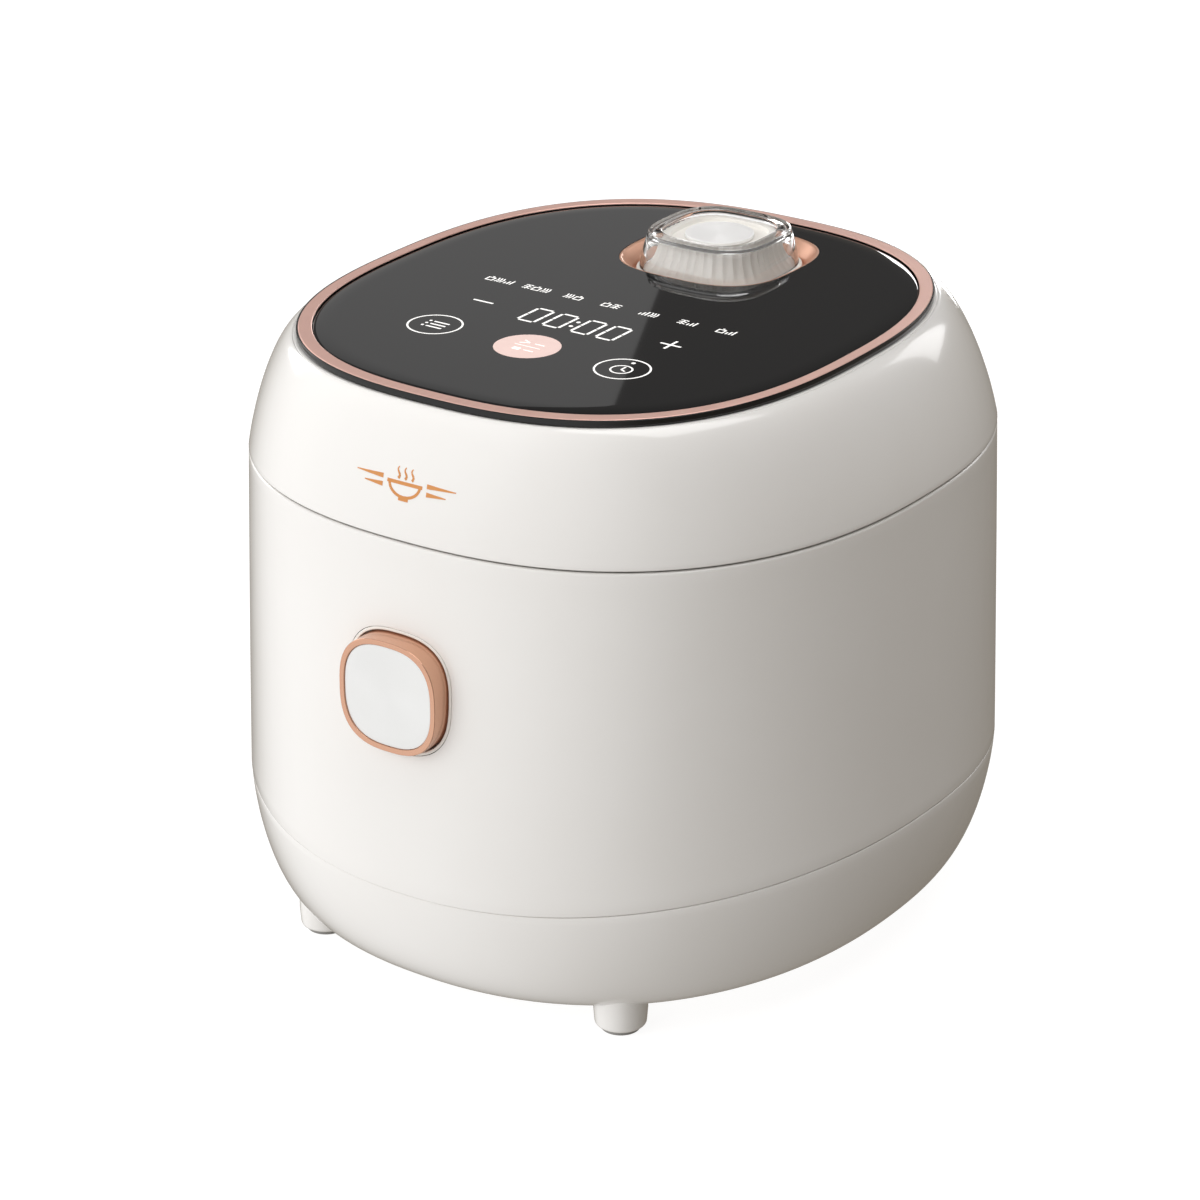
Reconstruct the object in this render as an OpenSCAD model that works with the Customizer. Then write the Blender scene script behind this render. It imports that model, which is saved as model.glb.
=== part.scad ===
// Electric pressure cooker with a hinged lid. Millimetres, +Z up, the front faces -Y.
// The origin is on the floor, under the middle of the body.

/* [Body] */
// Half width of the body where the lid closes
body_rx = 118; // [110:0.1:142]
// Depth of the body's front half where the lid closes
body_ry = 129.3; // [120:0.1:140]
// How much shallower the rear half is
rear_less = 4.3; // [2:0.1:6]
// How much further out the wall stands at its foot
flare = 6; // [2:0.5:8]
// Squareness of the plan outline at the wall's foot
foot_n = 2.15; // [2:0.01:3]
// Squareness of the plan outline, 2 is an ellipse
plan_n = 2.37; // [2:0.01:4]
// Height of the edge that the lid closes on
rim_z = 171.5; // [165:0.1:206]
// Height of the seam over the base, at the sides
base_seam_z = 60; // [54:1:66]
// How far that seam dips at the front and the back
seam_dip = 10.5; // [0:0.5:12]
// Wall thickness of the plastic shells
shell_wall = 2.4; // [1.8:0.1:3]

/* [Base] */
// Height of the underside over the floor
base_z = 8.6; // [7:0.2:12]
// Half width of the flat underside
base_rx = 88.5; // [80:0.5:95]
// Half depth of the flat underside
base_ry = 107.3; // [98:0.1:112]
// Squareness of the underside's outline
base_n = 2.3; // [2:0.01:2.5]
// Foot radius
foot_r = 9.15; // [7:0.05:12]
// Foot centre, sideways
foot_x = 62; // [50:1:66]
// Foot centre, front to back
foot_y = 95.2; // [80:0.2:97]
// Thickness of the rubber pad under a foot
pad_h = 1.5; // [1:0.1:3]

/* [Lid] */
// Height of the top edge of the lid shell over the rim
lid_h = 42.5; // [38:0.5:50]
// Half width of the top edge
top_rx = 95.5; // [90:0.5:104]
// Half depth of the top edge
top_ry = 111; // [100:0.5:118]
// How far the top edge stands forward of the middle
top_shift = 5.7; // [0:0.1:8]
// Squareness of the top outline
top_n = 2.54; // [2:0.01:4]
// Gap between the lid and the body
lid_gap = 0.6; // [0.4:0.1:1.2]

/* [Panel] */
// Half width of the ring round the glass
ring_rx = 94; // [88:0.5:100]
// Half depth of the ring
ring_ry = 109.5; // [98:0.5:114]
// Width of the ring's face
ring_w = 4.2; // [2:0.1:8]
// Height of the ring over the lid's top edge
ring_proud = 2.6; // [1:0.1:4]
// How far the glass stands over the ring, below zero when it lies under it
glass_proud = -0.2; // [-0.4:0.1:0.4]
// Depth of the tray under the ring
tray_deep = 7.5; // [7:0.1:9]
// Thickness of the glass
glass_t = 2; // [1.6:0.1:2.2]
// How far the valve's centre is in from the pot's wall
valve_in = 24.2; // [24:0.1:36]
// Half size of the recess round the valve
dish_r = 31.3; // [30:0.1:34]
// Squareness of the recess and the valve, 2 is a circle
valve_n = 3; // [2.4:0.1:4]
// Depth of that recess under the glass
dish_deep = 6; // [4:0.5:9]

/* [Valve] */
// Half size of the clear cap's skirt
cap_r = 25; // [24:0.1:27]
// Half size of the clear cap's top
cap_top_r = 22; // [20:0.1:24]
// Height of the knob over the glass
knob_h = 9.2; // [8:0.1:14]
// Flutes round the knob
flutes = 40; // [20:1:60]

/* [Release button] */
// Height of the button's centre
button_z = 120.4; // [100:0.2:135]
// Half width of the button's bezel
button_rx = 19; // [15:0.1:23]
// Half height of the button's bezel
button_rz = 19.2; // [15:0.1:22]
// Squareness of the button, 2 is an ellipse
button_n = 2.7; // [2.4:0.1:4]
// How far the bezel stands out
button_out = 6.5; // [5:0.5:9]
// How far it can be pressed
button_travel = 3; // [2:0.5:4]

/* [Pot] */
// Inner radius of the pot
pot_r = 80; // [66:0.1:82]
// Inner depth of the pot
pot_deep = 108; // [90:1:110]
// Wall of the pot
pot_wall = 2; // [1.2:0.1:3]

/* [Mains inlet] */
// Width of the inlet
inlet_w = 27; // [24:1:32]
// Height of the inlet
inlet_h = 20; // [18:1:26]
// Height of its centre
inlet_z = 84; // [78:1:95]
// How deep it goes into the body
inlet_deep = 20; // [16:1:24]

/* [Condensate box] */
// Width of the box
box_w = 62; // [50:1:70]
// Height of the box
box_h = 32; // [24:1:34]
// Height of its underside
box_z = 122; // [115:1:124]

/* [Hinge] */
// Hinge axis behind the middle
hinge_y = 104; // [100:0.5:106]
// Hinge axis over the rim
hinge_up = 12.5; // [11:0.5:15]
// Radius of the hinge cover
hinge_r = 20.8; // [17:0.1:22]
// Half length of the hinge cover
hinge_half = 50; // [40:1:52]
// Pin radius
pin_r = 3; // [2:0.1:4]

/* [Hidden] */

$fn = 64;
SIDES = 96;
eps = 0.05;
run_fit = 0.05;

top_edge = 3.2;
lid_z = rim_z + lid_gap / 2;
shell_top_z = rim_z - lid_gap / 2;
top_z = rim_z + lid_h;
ring_z = top_z + ring_proud;
ring_low_z = ring_z - 0.5;
ring_in_rx = ring_rx - ring_w;
ring_in_ry = ring_ry - ring_w - 1;
glass_z = ring_z - glass_t + glass_proud;
tray_floor_z = ring_z - tray_deep;
tray_floor_t = 2;
tray_rim = 0.6;
foot_rx = body_rx + flare;
foot_ry = body_ry + flare;

hinge_z = rim_z + hinge_up;
hinge_clear = 0.8;
arm_x = hinge_half + 1.4;
arm_w = 4;
arm_r = 4.4;
bracket_x = 38;
bracket_w = 8;
bracket_low_z = rim_z - 7.9;

pot_flange_z = rim_z - 9;
pot_flange_t = 2;
pot_flange_r = pot_r + pot_wall + 6.5;
pot_bottom_z = pot_flange_z + pot_flange_t - pot_deep - pot_wall;
pot_corner = 18;
collar_t = 13;
collar_z = shell_top_z - collar_t - 0.6;
collar_step_r = pot_flange_r + 1.2;
collar_hole_r = pot_r + pot_wall + 2.6;
shield_r = pot_r + pot_wall + 1;
shield_wall = 0.6;
shield_z = pot_bottom_z - 14;

plate_r = pot_r - 10;
plate_t = 9;
plate_gap = 0.2;
element_r = plate_r - 20;
element_wire = 3.4;
plate_z = pot_bottom_z - plate_gap - plate_t;
sensor_r = 13;
sensor_hole_r = 15;
sensor_travel = 2;

liner_t = 3;
liner_gap = 1.1;
liner_z = lid_z + 1.2;
liner_lean = shoulder((liner_z + liner_t - lid_z) / (top_z - lid_z));
liner_hole_r = pot_r - 16;
inner_lid_r = pot_r - 1;
gasket_r = pot_flange_r - 0.6;
gasket_in_r = pot_r - 4;
gasket_z = pot_flange_z + pot_flange_t + 0.3;
gasket_h = 5.4;
inner_lid_z = gasket_z + 1.6;
inner_lid_t = 2;

pipe_r = 7;
pipe_bore = 2.5;
valve_y = pot_r - valve_in;
dish_floor_z = ring_z - dish_deep;
dish_wall = 1.4;
knob_z = dish_floor_z + 0.4;
knob_flange_t = 1.6;
knob_top_z = ring_z + knob_h;
weight_r = 9;
cap_hole_r = cap_top_r - 4;
disc_r = 12;
weight_z = dish_floor_z + 1.2;

float_in = 30;
float_x = liner_hole_r - float_in;
float_y = liner_hole_r - float_in;
float_r = 3.5;
float_travel = 4;
float_top = lid_z + 17;

front_wall_y = -body_ry - wall_out(button_z);
rear_wall_y = body_ry - rear_less + wall_out(inlet_z);
button_front_y = front_wall_y - button_out;
guide_y = front_wall_y + shell_wall + 2.2;
bezel_w = 1.9;
surround_w = 1.8;
stem_r = 4;

hook_y = -104;
hook_pivot_z = 146;
hook_w = 22;
hook_t = 3;
hook_pin_r = 1.5;
hook_top_z = rim_z - 4.6;
nose_out = 3.1;
striker_y = hook_y + hook_t / 2 + nose_out + 1;
striker_w = 16;

box_in_y = 108;
box_out_y = -button_front_y;
box_wall = 1.6;
holder_wall = 1.2;

white = "#f2efe9";
rose = "#d9a894";
black = "#1d1d1f";
steel = "#c9cbcc";

// Egg outline: a superellipse whose rear half is shallower by less
function egg(rx, ry, n, less = rear_less) = [for (p = sup(rx, ry, n))
    [p[0], p[1] > 0 ? p[1] * (ry - less) / ry : p[1]]];

// Superellipse outline
function sup(rx, ry, n, sides = SIDES) = [for (i = [0:sides - 1])
    let (a = i * 360 / sides)
    [rx * sign(cos(a)) * pow(abs(cos(a)), 2 / n), ry * sign(sin(a)) * pow(abs(sin(a)), 2 / n)]];

// How far the wall stands out at height z over its place at the rim
function wall_out(z) = flare * (1 - (z - base_seam_z) / (shell_top_z - base_seam_z));

// Height of the base seam at a depth y
function seam_at(y) = base_seam_z - seam_dip * pow(min(1, abs(y) / foot_ry), 2);

// One ring of a loft: an outline at height z, moved by dy
function ring_at(rx, ry, n, less, dy, z) = [for (p = egg(rx, ry, n, less)) [p[0], p[1] + dy, z]];

// Share of the way in from the lid's edge to its top edge, for t from 0 to 1
function shoulder(t) = 1 - pow(1 - pow(t, 1.2), 0.629);

// Lid ring at share t of its height, inset by d
function lid_ring(t, d) = let (w = shoulder(t))
    ring_at(body_rx + (top_rx - body_rx) * w - d, body_ry + (top_ry - body_ry) * w - d,
        plan_n + (top_n - plan_n) * w, rear_less * (1 - w), -top_shift * w, lid_z + (top_z - lid_z) * t);

// Share of the way out from the underside to the seam, for s from 0 to 1
function bowl(s) = pow(1 - pow(1 - s, 1.476), 0.297);

// Base ring at share s of the height, inset by d, its height following the seam's dip
function base_ring(s, d, z0) = [for (p = egg(base_rx + (foot_rx - base_rx) * bowl(s) - d,
        base_ry + (foot_ry - base_ry) * bowl(s) - d, base_n + (foot_n - base_n) * bowl(s)))
    [p[0], p[1], z0 + (seam_at(p[1]) - 0.15 - z0) * s]];

// Closed solid through rings: the last ring joins the first, so it has a hole through it
module ring_loft(rings) {
    n = len(rings[0]);
    m = len(rings);
    polyhedron(
        points = [for (r = rings) for (p = r) p],
        faces = [for (j = [0:m - 1]) for (i = [0:n - 1]) for (k = [0, 1])
            let (a = j * n + i, b = j * n + (i + 1) % n,
                c = ((j + 1) % m) * n + (i + 1) % n, d = ((j + 1) % m) * n + i)
            k == 0 ? [a, c, b] : [a, d, c]]);
}

function unit(v) = v / norm(v);

// Closed round bar along a path, its section turned by the direction ref that the path never follows
module sweep(path, r, ref, sides = 6) {
    n = len(path);
    rings = [for (i = [0:n - 1])
        let (t = unit(path[min(i + 1, n - 1)] - path[max(i - 1, 0)]), u = unit(cross(t, ref)),
            v = cross(u, t))
        for (k = [0:sides - 1]) path[i] + r * (u * cos(k * 360 / sides) + v * sin(k * 360 / sides))];
    polyhedron(
        points = rings,
        faces = concat([[for (k = [0:sides - 1]) k],
            [for (k = [sides - 1:-1:0]) (n - 1) * sides + k]],
            [for (j = [0:n - 2]) for (k = [0:sides - 1])
                let (a = j * sides + k, b = j * sides + (k + 1) % sides)
                [a, a + sides, b + sides, b]]));
}

// Points of a helix along +Z
function helix(r, pitch, turns) = [for (i = [0:turns * 12])
    [r * cos(i * 30), r * sin(i * 30), pitch * i / 12]];

module egg_prism(rx, ry, n, h) {
    linear_extrude(h) polygon(egg(rx, ry, n));
}

module prism(rx, ry, n, h) {
    linear_extrude(h) polygon(sup(rx, ry, n));
}

module tube(r, r_in, h) {
    difference() {
        cylinder(r = r, h = h);
        translate([0, 0, -1]) cylinder(r = r_in, h = h + 2);
    }
}

module at_valve(z) {
    translate([0, valve_y, z]) children();
}

// Rounded square prism standing out of the front wall, from y = from back to y = to
module front_prism(rx, rz, from, to) {
    translate([0, to, button_z]) rotate([90, 0, 0]) linear_extrude(to - from)
        polygon(sup(rx, rz, button_n, 64));
}

// Cylinder along X on the hinge axis
module on_hinge(r, x0, x1) {
    translate([x0, hinge_y, hinge_z]) rotate([0, 90, 0]) cylinder(r = r, h = x1 - x0);
}

// Depth of the lid's edge at a distance x from the middle
function edge_y(x) = (body_ry - rear_less) * pow(1 - pow(x / body_rx, plan_n), 1 / plan_n);

// Room beside the hinge cover that the lid's rear edge swings through
module swing_room() {
    end_x = body_rx * pow(1 - pow(hinge_y / (body_ry - rear_less), plan_n), 1 / plan_n);
    low_r = hinge_z - lid_z + hinge_clear;
    mirrored_x() translate([hinge_half, hinge_y, hinge_z]) rotate([0, 90, 0])
        cylinder(r1 = norm([edge_y(hinge_half) - hinge_y, low_r]), r2 = low_r,
            h = end_x - hinge_half + 1);
}

module mirrored_x() {
    children();
    mirror([1, 0, 0]) children();
}

module lid_shell() {
    steps = 12;
    color(white) difference() {
        ring_loft(concat(
            [for (i = [0:steps]) lid_ring(i / steps, 0)],
            [for (i = [steps:-2:0]) lid_ring(i / steps, shell_wall + top_edge * i / steps)]));
        on_hinge(hinge_r + hinge_clear, -hinge_half - hinge_clear, hinge_half + hinge_clear);
        translate([-hinge_half - hinge_clear, hinge_y, lid_z - 1])
            cube([2 * (hinge_half + hinge_clear), 60, 8]);
    }
}

// Prism of the panel's outline, inset by d, from z = low to z = high
module panel_prism(rx, ry, low, high) {
    translate([0, -top_shift, low]) prism(rx, ry, top_n, high - low);
}

module panel_tray() {
    skin_z = top_z + 0.1;
    seat = 3.5;
    color(black) difference() {
        union() {
            panel_prism(top_rx - shell_wall - top_edge - 0.2, top_ry - shell_wall - top_edge - 0.2,
                tray_floor_z, skin_z + 0.2);
            panel_prism(ring_rx + tray_rim, ring_ry + tray_rim, skin_z, ring_low_z - 0.1);
        }
        panel_prism(ring_in_rx - seat, ring_in_ry - seat, tray_floor_z + tray_floor_t, ring_z);
        panel_prism(ring_in_rx + 0.2, ring_in_ry + 0.2, glass_z - 0.02, ring_z);
        at_valve(tray_floor_z - 1) prism(dish_r + 0.4, dish_r + 0.4, valve_n, 10);
    }
}

module trim_ring() {
    color(rose) difference() {
        panel_prism(ring_rx, ring_ry, ring_low_z, ring_z);
        panel_prism(ring_in_rx + 0.05, ring_in_ry + 0.05, ring_low_z - 1, ring_z + 1);
    }
}

module control_glass() {
    color(black) difference() {
        panel_prism(ring_in_rx, ring_in_ry, glass_z, glass_z + glass_t);
        at_valve(glass_z - 1) prism(dish_r - 1.2, dish_r - 1.2, valve_n, 10);
    }
}

module valve_dish() {
    flange_z = glass_z - 2;
    color(rose) difference() {
        union() {
            at_valve(dish_floor_z - dish_wall) prism(dish_r - 1.4, dish_r - 1.4, valve_n,
                ring_z + 0.2 - dish_floor_z + dish_wall);
            at_valve(flange_z) prism(dish_r, dish_r, valve_n, 1.2);
        }
        at_valve(dish_floor_z) prism(dish_r - 2.8, dish_r - 2.8, valve_n, 20);
        at_valve(dish_floor_z - 9) cylinder(r = pipe_r + 0.3, h = 20);
    }
}

module steam_pipe() {
    low = inner_lid_z - 3;
    seat_z = dish_floor_z + 3.2;
    color(steel) at_valve(0) difference() {
        union() {
            translate([0, 0, low]) cylinder(r = pipe_r, h = seat_z - 5 - low);
            translate([0, 0, seat_z - 5.1]) cylinder(r1 = pipe_r, r2 = pipe_bore + 1.4, h = 5.1);
            translate([0, 0, inner_lid_z + inner_lid_t]) cylinder(r = pipe_r + 3, h = 2);
        }
        translate([0, 0, low - 1]) cylinder(r = pipe_bore, h = seat_z - low + 2);
    }
}

module lid_liner() {
    color(white) difference() {
        translate([0, 0, liner_z])
            egg_prism(body_rx - (body_rx - top_rx) * liner_lean - shell_wall - liner_gap,
                body_ry - (body_ry - top_ry) * liner_lean - shell_wall - liner_gap, plan_n, liner_t);
        translate([0, 0, liner_z - 1]) cylinder(r = liner_hole_r, h = liner_t + 2);
        translate([-hinge_half - 8, hinge_y - hinge_r - 2, liner_z - 1])
            cube([2 * hinge_half + 16, 60, liner_t + 2]);
        translate([-striker_w / 2 - 0.3, striker_y - 0.4, liner_z - 1])
            cube([striker_w + 0.6, 3.4, liner_t + 2]);
    }
}

module inner_lid() {
    holder_r = liner_hole_r + 4;
    color(steel) difference() {
        union() {
            translate([0, 0, inner_lid_z]) cylinder(r = inner_lid_r, h = inner_lid_t);
            translate([0, 0, inner_lid_z + inner_lid_t - eps])
                tube(holder_r, holder_r - 1.6, liner_z - inner_lid_z - inner_lid_t);
        }
        at_valve(inner_lid_z - 1) cylinder(r = pipe_r + 0.1, h = 9);
        translate([float_x, float_y, inner_lid_z - 1]) cylinder(r = float_r + 0.1, h = 9);
        translate([0, 0, inner_lid_z - 1]) cylinder(r = 3.1, h = 9);
    }
}

module inner_lid_nut() {
    color(steel) {
        translate([0, 0, inner_lid_z - 7]) cylinder(r = 9, h = 7 - 0.02);
        translate([0, 0, inner_lid_z - 1]) cylinder(r = 3, h = 12);
    }
}

module sealing_gasket() {
    lip = 3.4;
    color("#e9e9e6") translate([0, 0, gasket_z]) rotate_extrude() polygon([
        [gasket_in_r, 1.6 - eps], [gasket_in_r, 0], [gasket_r, 0], [gasket_r, gasket_h],
        [inner_lid_r - 2, gasket_h], [inner_lid_r - 2, 1.6 + inner_lid_t + 0.02],
        [inner_lid_r + 0.02, 1.6 + inner_lid_t + 0.02], [inner_lid_r + 0.02, 1.6 - 0.02],
        [gasket_in_r + lip, 1.6 - 0.02]]);
}

module anti_clog_cover() {
    r = 12;
    color(steel) at_valve(inner_lid_z - 8) difference() {
        cylinder(r = r, h = 8 - 0.02);
        translate([0, 0, 1]) cylinder(r = r - 1, h = 9);
        for (a = [0:30:330]) rotate(a) translate([r - 4, 0, -1]) cylinder(r = 1, h = 3);
        for (a = [0:45:315]) rotate(a) translate([r - 3, 0, 4.5]) rotate([0, 90, 0])
            cylinder(r = 1, h = 6);
    }
}

module display_board() {
    board_z = tray_floor_z + tray_floor_t + 0.2;
    color("#2b4a38") difference() {
        translate([-62, -84, board_z]) cube([124, 88, 1.2]);
        translate([-63, -85, board_z - 1]) cube([8, 8, 4]);
    }
    color(black) translate([-20, -46, board_z + 1.2 - eps]) cube([40, 18, 0.4]);
}

module lid_striker() {
    low = hook_top_z - 9;
    color(steel) difference() {
        translate([-striker_w / 2, striker_y, low])
            cube([striker_w, 2.4, liner_z + liner_t + 1.6 - low]);
        translate([-5.4, striker_y - 1, low + 2.4]) cube([10.8, 5, 5.2]);
    }
    color(steel) translate([-striker_w / 2, striker_y + 2.4, liner_z + liner_t + 0.02])
        cube([striker_w, 9.6, 1.58]);
}

module hinge_arms() {
    color(steel) mirrored_x() difference() {
        union() {
            on_hinge(arm_r, arm_x, arm_x + arm_w);
            translate([arm_x, hinge_y - 34, liner_z + liner_t]) cube([arm_w, 34, 11]);
            translate([arm_x, hinge_y - 34, liner_z + liner_t]) cube([16, 20, 2.4]);
        }
        on_hinge(pin_r, 0, 99);
    }
}

module hinge_pin() {
    half = arm_x + arm_w + 0.8;
    color(steel) on_hinge(pin_r, -half, half);
}

module lid_screws() {
    color(steel) for (s = [-1, 1]) {
        translate([s * (arm_x + 11), hinge_y - 24, liner_z + liner_t + 2.4]) screw(2.2, 4.4, 0);
        translate([s * 72, -70, liner_z]) mirror([0, 0, 1]) screw(1.6, 3.4, 0.02);
    }
}

// Pan head screw, its head above z = 0 and its shank below
module screw(r, head_r, sink) {
    translate([0, 0, sink]) difference() {
        cylinder(r = head_r, h = 2);
        translate([0, 0, 1.2]) cylinder(r = r * 0.9, h = 3, $fn = 6);
    }
}

module float_valve() {
    foot_z = inner_lid_z - float_travel - 2;
    color("#b53a2e") translate([float_x, float_y, 0]) {
        translate([0, 0, foot_z]) cylinder(r = float_r + 1.5, h = 1.8);
        translate([0, 0, foot_z + 1]) cylinder(r = float_r - 0.1, h = float_top - foot_z);
    }
}

module float_seal() {
    color("#d8d8d2") translate([float_x, float_y, inner_lid_z + inner_lid_t + 6])
        tube(float_r + 2.4, float_r + 0.1, 2);
}

module valve_weight() {
    color(steel) at_valve(weight_z) difference() {
        cylinder(r = weight_r, h = knob_top_z - 4 - weight_z);
        translate([0, 0, -1]) cylinder(r = pipe_r + 0.8, h = 3.6);
        translate([0, 0, 2.5]) cylinder(r1 = 5, r2 = 1, h = 5);
    }
}

// Fluted skirt: a rounded square frustum with shallow flutes
module valve_knob() {
    body_top = knob_top_z - 2.2;
    n = flutes * 4;
    low_r = cap_r - 3.4;
    high_r = cap_top_r - 2.4;
    ring = function(r, z) [for (i = [0:n - 1])
        let (a = i * 360 / n, e = 1 / pow(pow(abs(cos(a)), valve_n) + pow(abs(sin(a)), valve_n),
            1 / valve_n), rr = r * e + (i % 4 < 2 ? 0 : -0.7))
        [rr * cos(a), rr * sin(a), z]];
    color(white) difference() {
        union() {
            at_valve(0) polyhedron(
                points = concat(ring(low_r, knob_z + knob_flange_t / 2), ring(high_r, body_top)),
                faces = concat([[for (i = [0:n - 1]) i], [for (i = [n - 1:-1:0]) n + i]],
                    [for (i = [0:n - 1]) [i, n + i, n + (i + 1) % n, (i + 1) % n]]));
            at_valve(knob_z) prism(cap_r + 1, cap_r + 1, valve_n, knob_flange_t);
        }
        at_valve(knob_z - 1) cylinder(r = weight_r + eps, h = 40);
    }
}

module valve_disc() {
    color(steel) at_valve(knob_top_z - 2.2 + eps) cylinder(r = disc_r, h = 1.4);
}

// Clear cap over the knob, open underneath
module valve_cap() {
    cap_t = 1.2;
    low = knob_z + knob_flange_t + 0.1;
    module frustum(d, z0, z1) {
        hull() {
            at_valve(z0) linear_extrude(0.1) polygon(sup(cap_r - d, cap_r - d, valve_n, 48));
            at_valve(z1 - 2) linear_extrude(0.1)
                polygon(sup(cap_top_r + 0.8 - d, cap_top_r + 0.8 - d, valve_n, 48));
            at_valve(z1) linear_extrude(0.1)
                polygon(sup(cap_top_r - 0.8 - d, cap_top_r - 0.8 - d, valve_n, 48));
        }
    }
    color([0.9, 0.93, 0.95, 0.4]) difference() {
        frustum(0, low, knob_top_z - 0.1);
        frustum(cap_t, low - 0.2, knob_top_z - 0.2 - cap_t * 1.2);
        at_valve(0) linear_extrude(knob_top_z + 9) polygon(sup(cap_hole_r, cap_hole_r, valve_n, 48));
    }
}

module outer_shell() {
    low = base_seam_z - seam_dip - 1;
    h = shell_top_z - low;
    color(white) difference() {
        ring_loft(concat(
            [for (i = [0:3]) wall_ring(low + h * i / 3, 0)],
            [for (i = [3:-1:0]) wall_ring(low + h * i / 3, shell_wall)]));
        translate([-foot_rx - 5, 0, 0]) rotate([90, 0, 90]) linear_extrude(2 * foot_rx + 10)
            polygon(concat([[-foot_ry - 9, 0], [foot_ry + 9, 0]],
                [for (i = [12:-1:-12]) let (y = i * (foot_ry + 9) / 12) [y, seam_at(y) + 0.15]]));
        front_prism(button_rx + surround_w + 0.1, button_rz + surround_w + 0.1, -foot_ry - 9, -body_ry + 9);
        translate([-box_w / 2 - 0.5, box_in_y, box_z - 0.5]) cube([box_w + 1, 40, box_h + 1]);
        translate([-inlet_w / 2 - 0.3, rear_wall_y - 12, inlet_z - inlet_h / 2 - 0.3])
            cube([inlet_w + 0.6, 40, inlet_h + 0.6]);
        swing_room();
    }
}

// Ring of the side wall at height z, inset by d
function wall_ring(z, d) = let (w = 1 - (z - base_seam_z) / (shell_top_z - base_seam_z))
    ring_at(body_rx + flare * w - d, body_ry + flare * w - d, plan_n + (foot_n - plan_n) * w, rear_less,
        0, z);

module base_shell() {
    steps = 10;
    hole = egg(base_rx - 12, base_ry - 12, 2);
    color(white) difference() {
        ring_loft(concat(
            [[for (p = hole) [p[0], p[1], base_z]]],
            [for (i = [0:steps]) base_ring(pow(i / steps, 2), 0, base_z)],
            [for (i = [steps:-2:0]) base_ring(pow(i / steps, 2), shell_wall, base_z + shell_wall)],
            [[for (p = hole) [p[0], p[1], base_z + shell_wall]]]));
        at_feet() cylinder(r = foot_r + 0.1, h = 60);
    }
}

module at_feet() {
    for (x = [-1, 1]) for (y = [-1, 1]) translate([x * foot_x, y * foot_y, 0]) children();
}

module bottom_cover() {
    t = 2;
    color(white) difference() {
        union() {
            translate([0, 0, base_z + shell_wall + 0.02]) egg_prism(base_rx - 9, base_ry - 9, 2, t);
            translate([0, 0, base_z]) egg_prism(base_rx - 12.3, base_ry - 12.3, 2, shell_wall + 0.1);
        }
        for (x = [-40:8:40]) for (y = [-24, 24])
            translate([x - 1.5, y - 14, base_z - 1]) cube([3, 28, 9]);
        at_feet() cylinder(r = foot_r + 0.4, h = 60);
    }
}

// Foot with a rounded lower edge and a spigot up into the base
module foot(sx, sy) {
    round = 1.6;
    color(white) translate([sx * foot_x, sy * foot_y, 0]) rotate_extrude()
        polygon(concat([[0, pad_h], [foot_r - round - 0.6, pad_h]],
            [for (a = [-60:30:0]) [foot_r - round + round * cos(a) - 0.3, pad_h + round + round * sin(a)]],
            [[foot_r, base_z + 19], [0, base_z + 19]]));
}

module foot_pads() {
    color("#8f8d8a") at_feet() cylinder(r = foot_r - 2.6, h = pad_h - 0.01);
}

module rim_collar() {
    color(white) difference() {
        translate([0, 0, collar_z]) egg_prism(body_rx - shell_wall - 0.2, body_ry - shell_wall - 0.2,
            plan_n, collar_t);
        translate([0, 0, collar_z - 1]) cylinder(r = collar_hole_r, h = collar_t + 2);
        translate([0, 0, pot_flange_z - 0.02]) cylinder(r = collar_step_r, h = 30);
        translate([-hook_w / 2 - 1, striker_y - 15, collar_z - 1]) cube([hook_w + 2, 20, collar_t + 2]);
        on_hinge(hinge_r + 0.1, -hinge_half - 0.1, hinge_half + 0.1);
        swing_room();
        translate([-bracket_x - 4.3, hinge_y - 9.3, bracket_low_z - 0.02])
            cube([2 * bracket_x + 8.6, 18.6, 9]);
    }
}

// Two lugs that carry the pin, on a plate under the hinge cover
module hinge_bracket() {
    color(steel) difference() {
        union() {
            mirrored_x() {
                on_hinge(pin_r + 3.4, bracket_x - bracket_w / 2, bracket_x + bracket_w / 2);
                translate([bracket_x - bracket_w / 2, hinge_y - 5, bracket_low_z])
                    cube([bracket_w, 10, hinge_z - bracket_low_z]);
            }
            translate([-bracket_x - 4, hinge_y - 9, bracket_low_z]) cube([2 * bracket_x + 8, 18, 3]);
        }
        on_hinge(pin_r + run_fit, -99, 99);
    }
}

module hinge_cover() {
    skin = 2.2;
    color(white) difference() {
        on_hinge(hinge_r, -hinge_half, hinge_half);
        on_hinge(hinge_r - skin, -hinge_half + skin, hinge_half - skin);
        on_hinge(pin_r + 0.6, -99, 99);
        translate([-99, hinge_y - 60, rim_z - 40]) cube([198, 99, 40 + shell_top_z - rim_z + 0.02]);
        translate([-hinge_half + skin, hinge_y - 60, rim_z - 1]) cube([2 * (hinge_half - skin), 51, 40]);
    }
}

module hinge_springs() {
    wire = 1;
    color(steel) mirrored_x() translate([14, hinge_y, hinge_z]) rotate([0, 90, 0])
        sweep(helix(pin_r + 2.4, 2.6, 6), wire, [0, 0, 1]);
}

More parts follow.
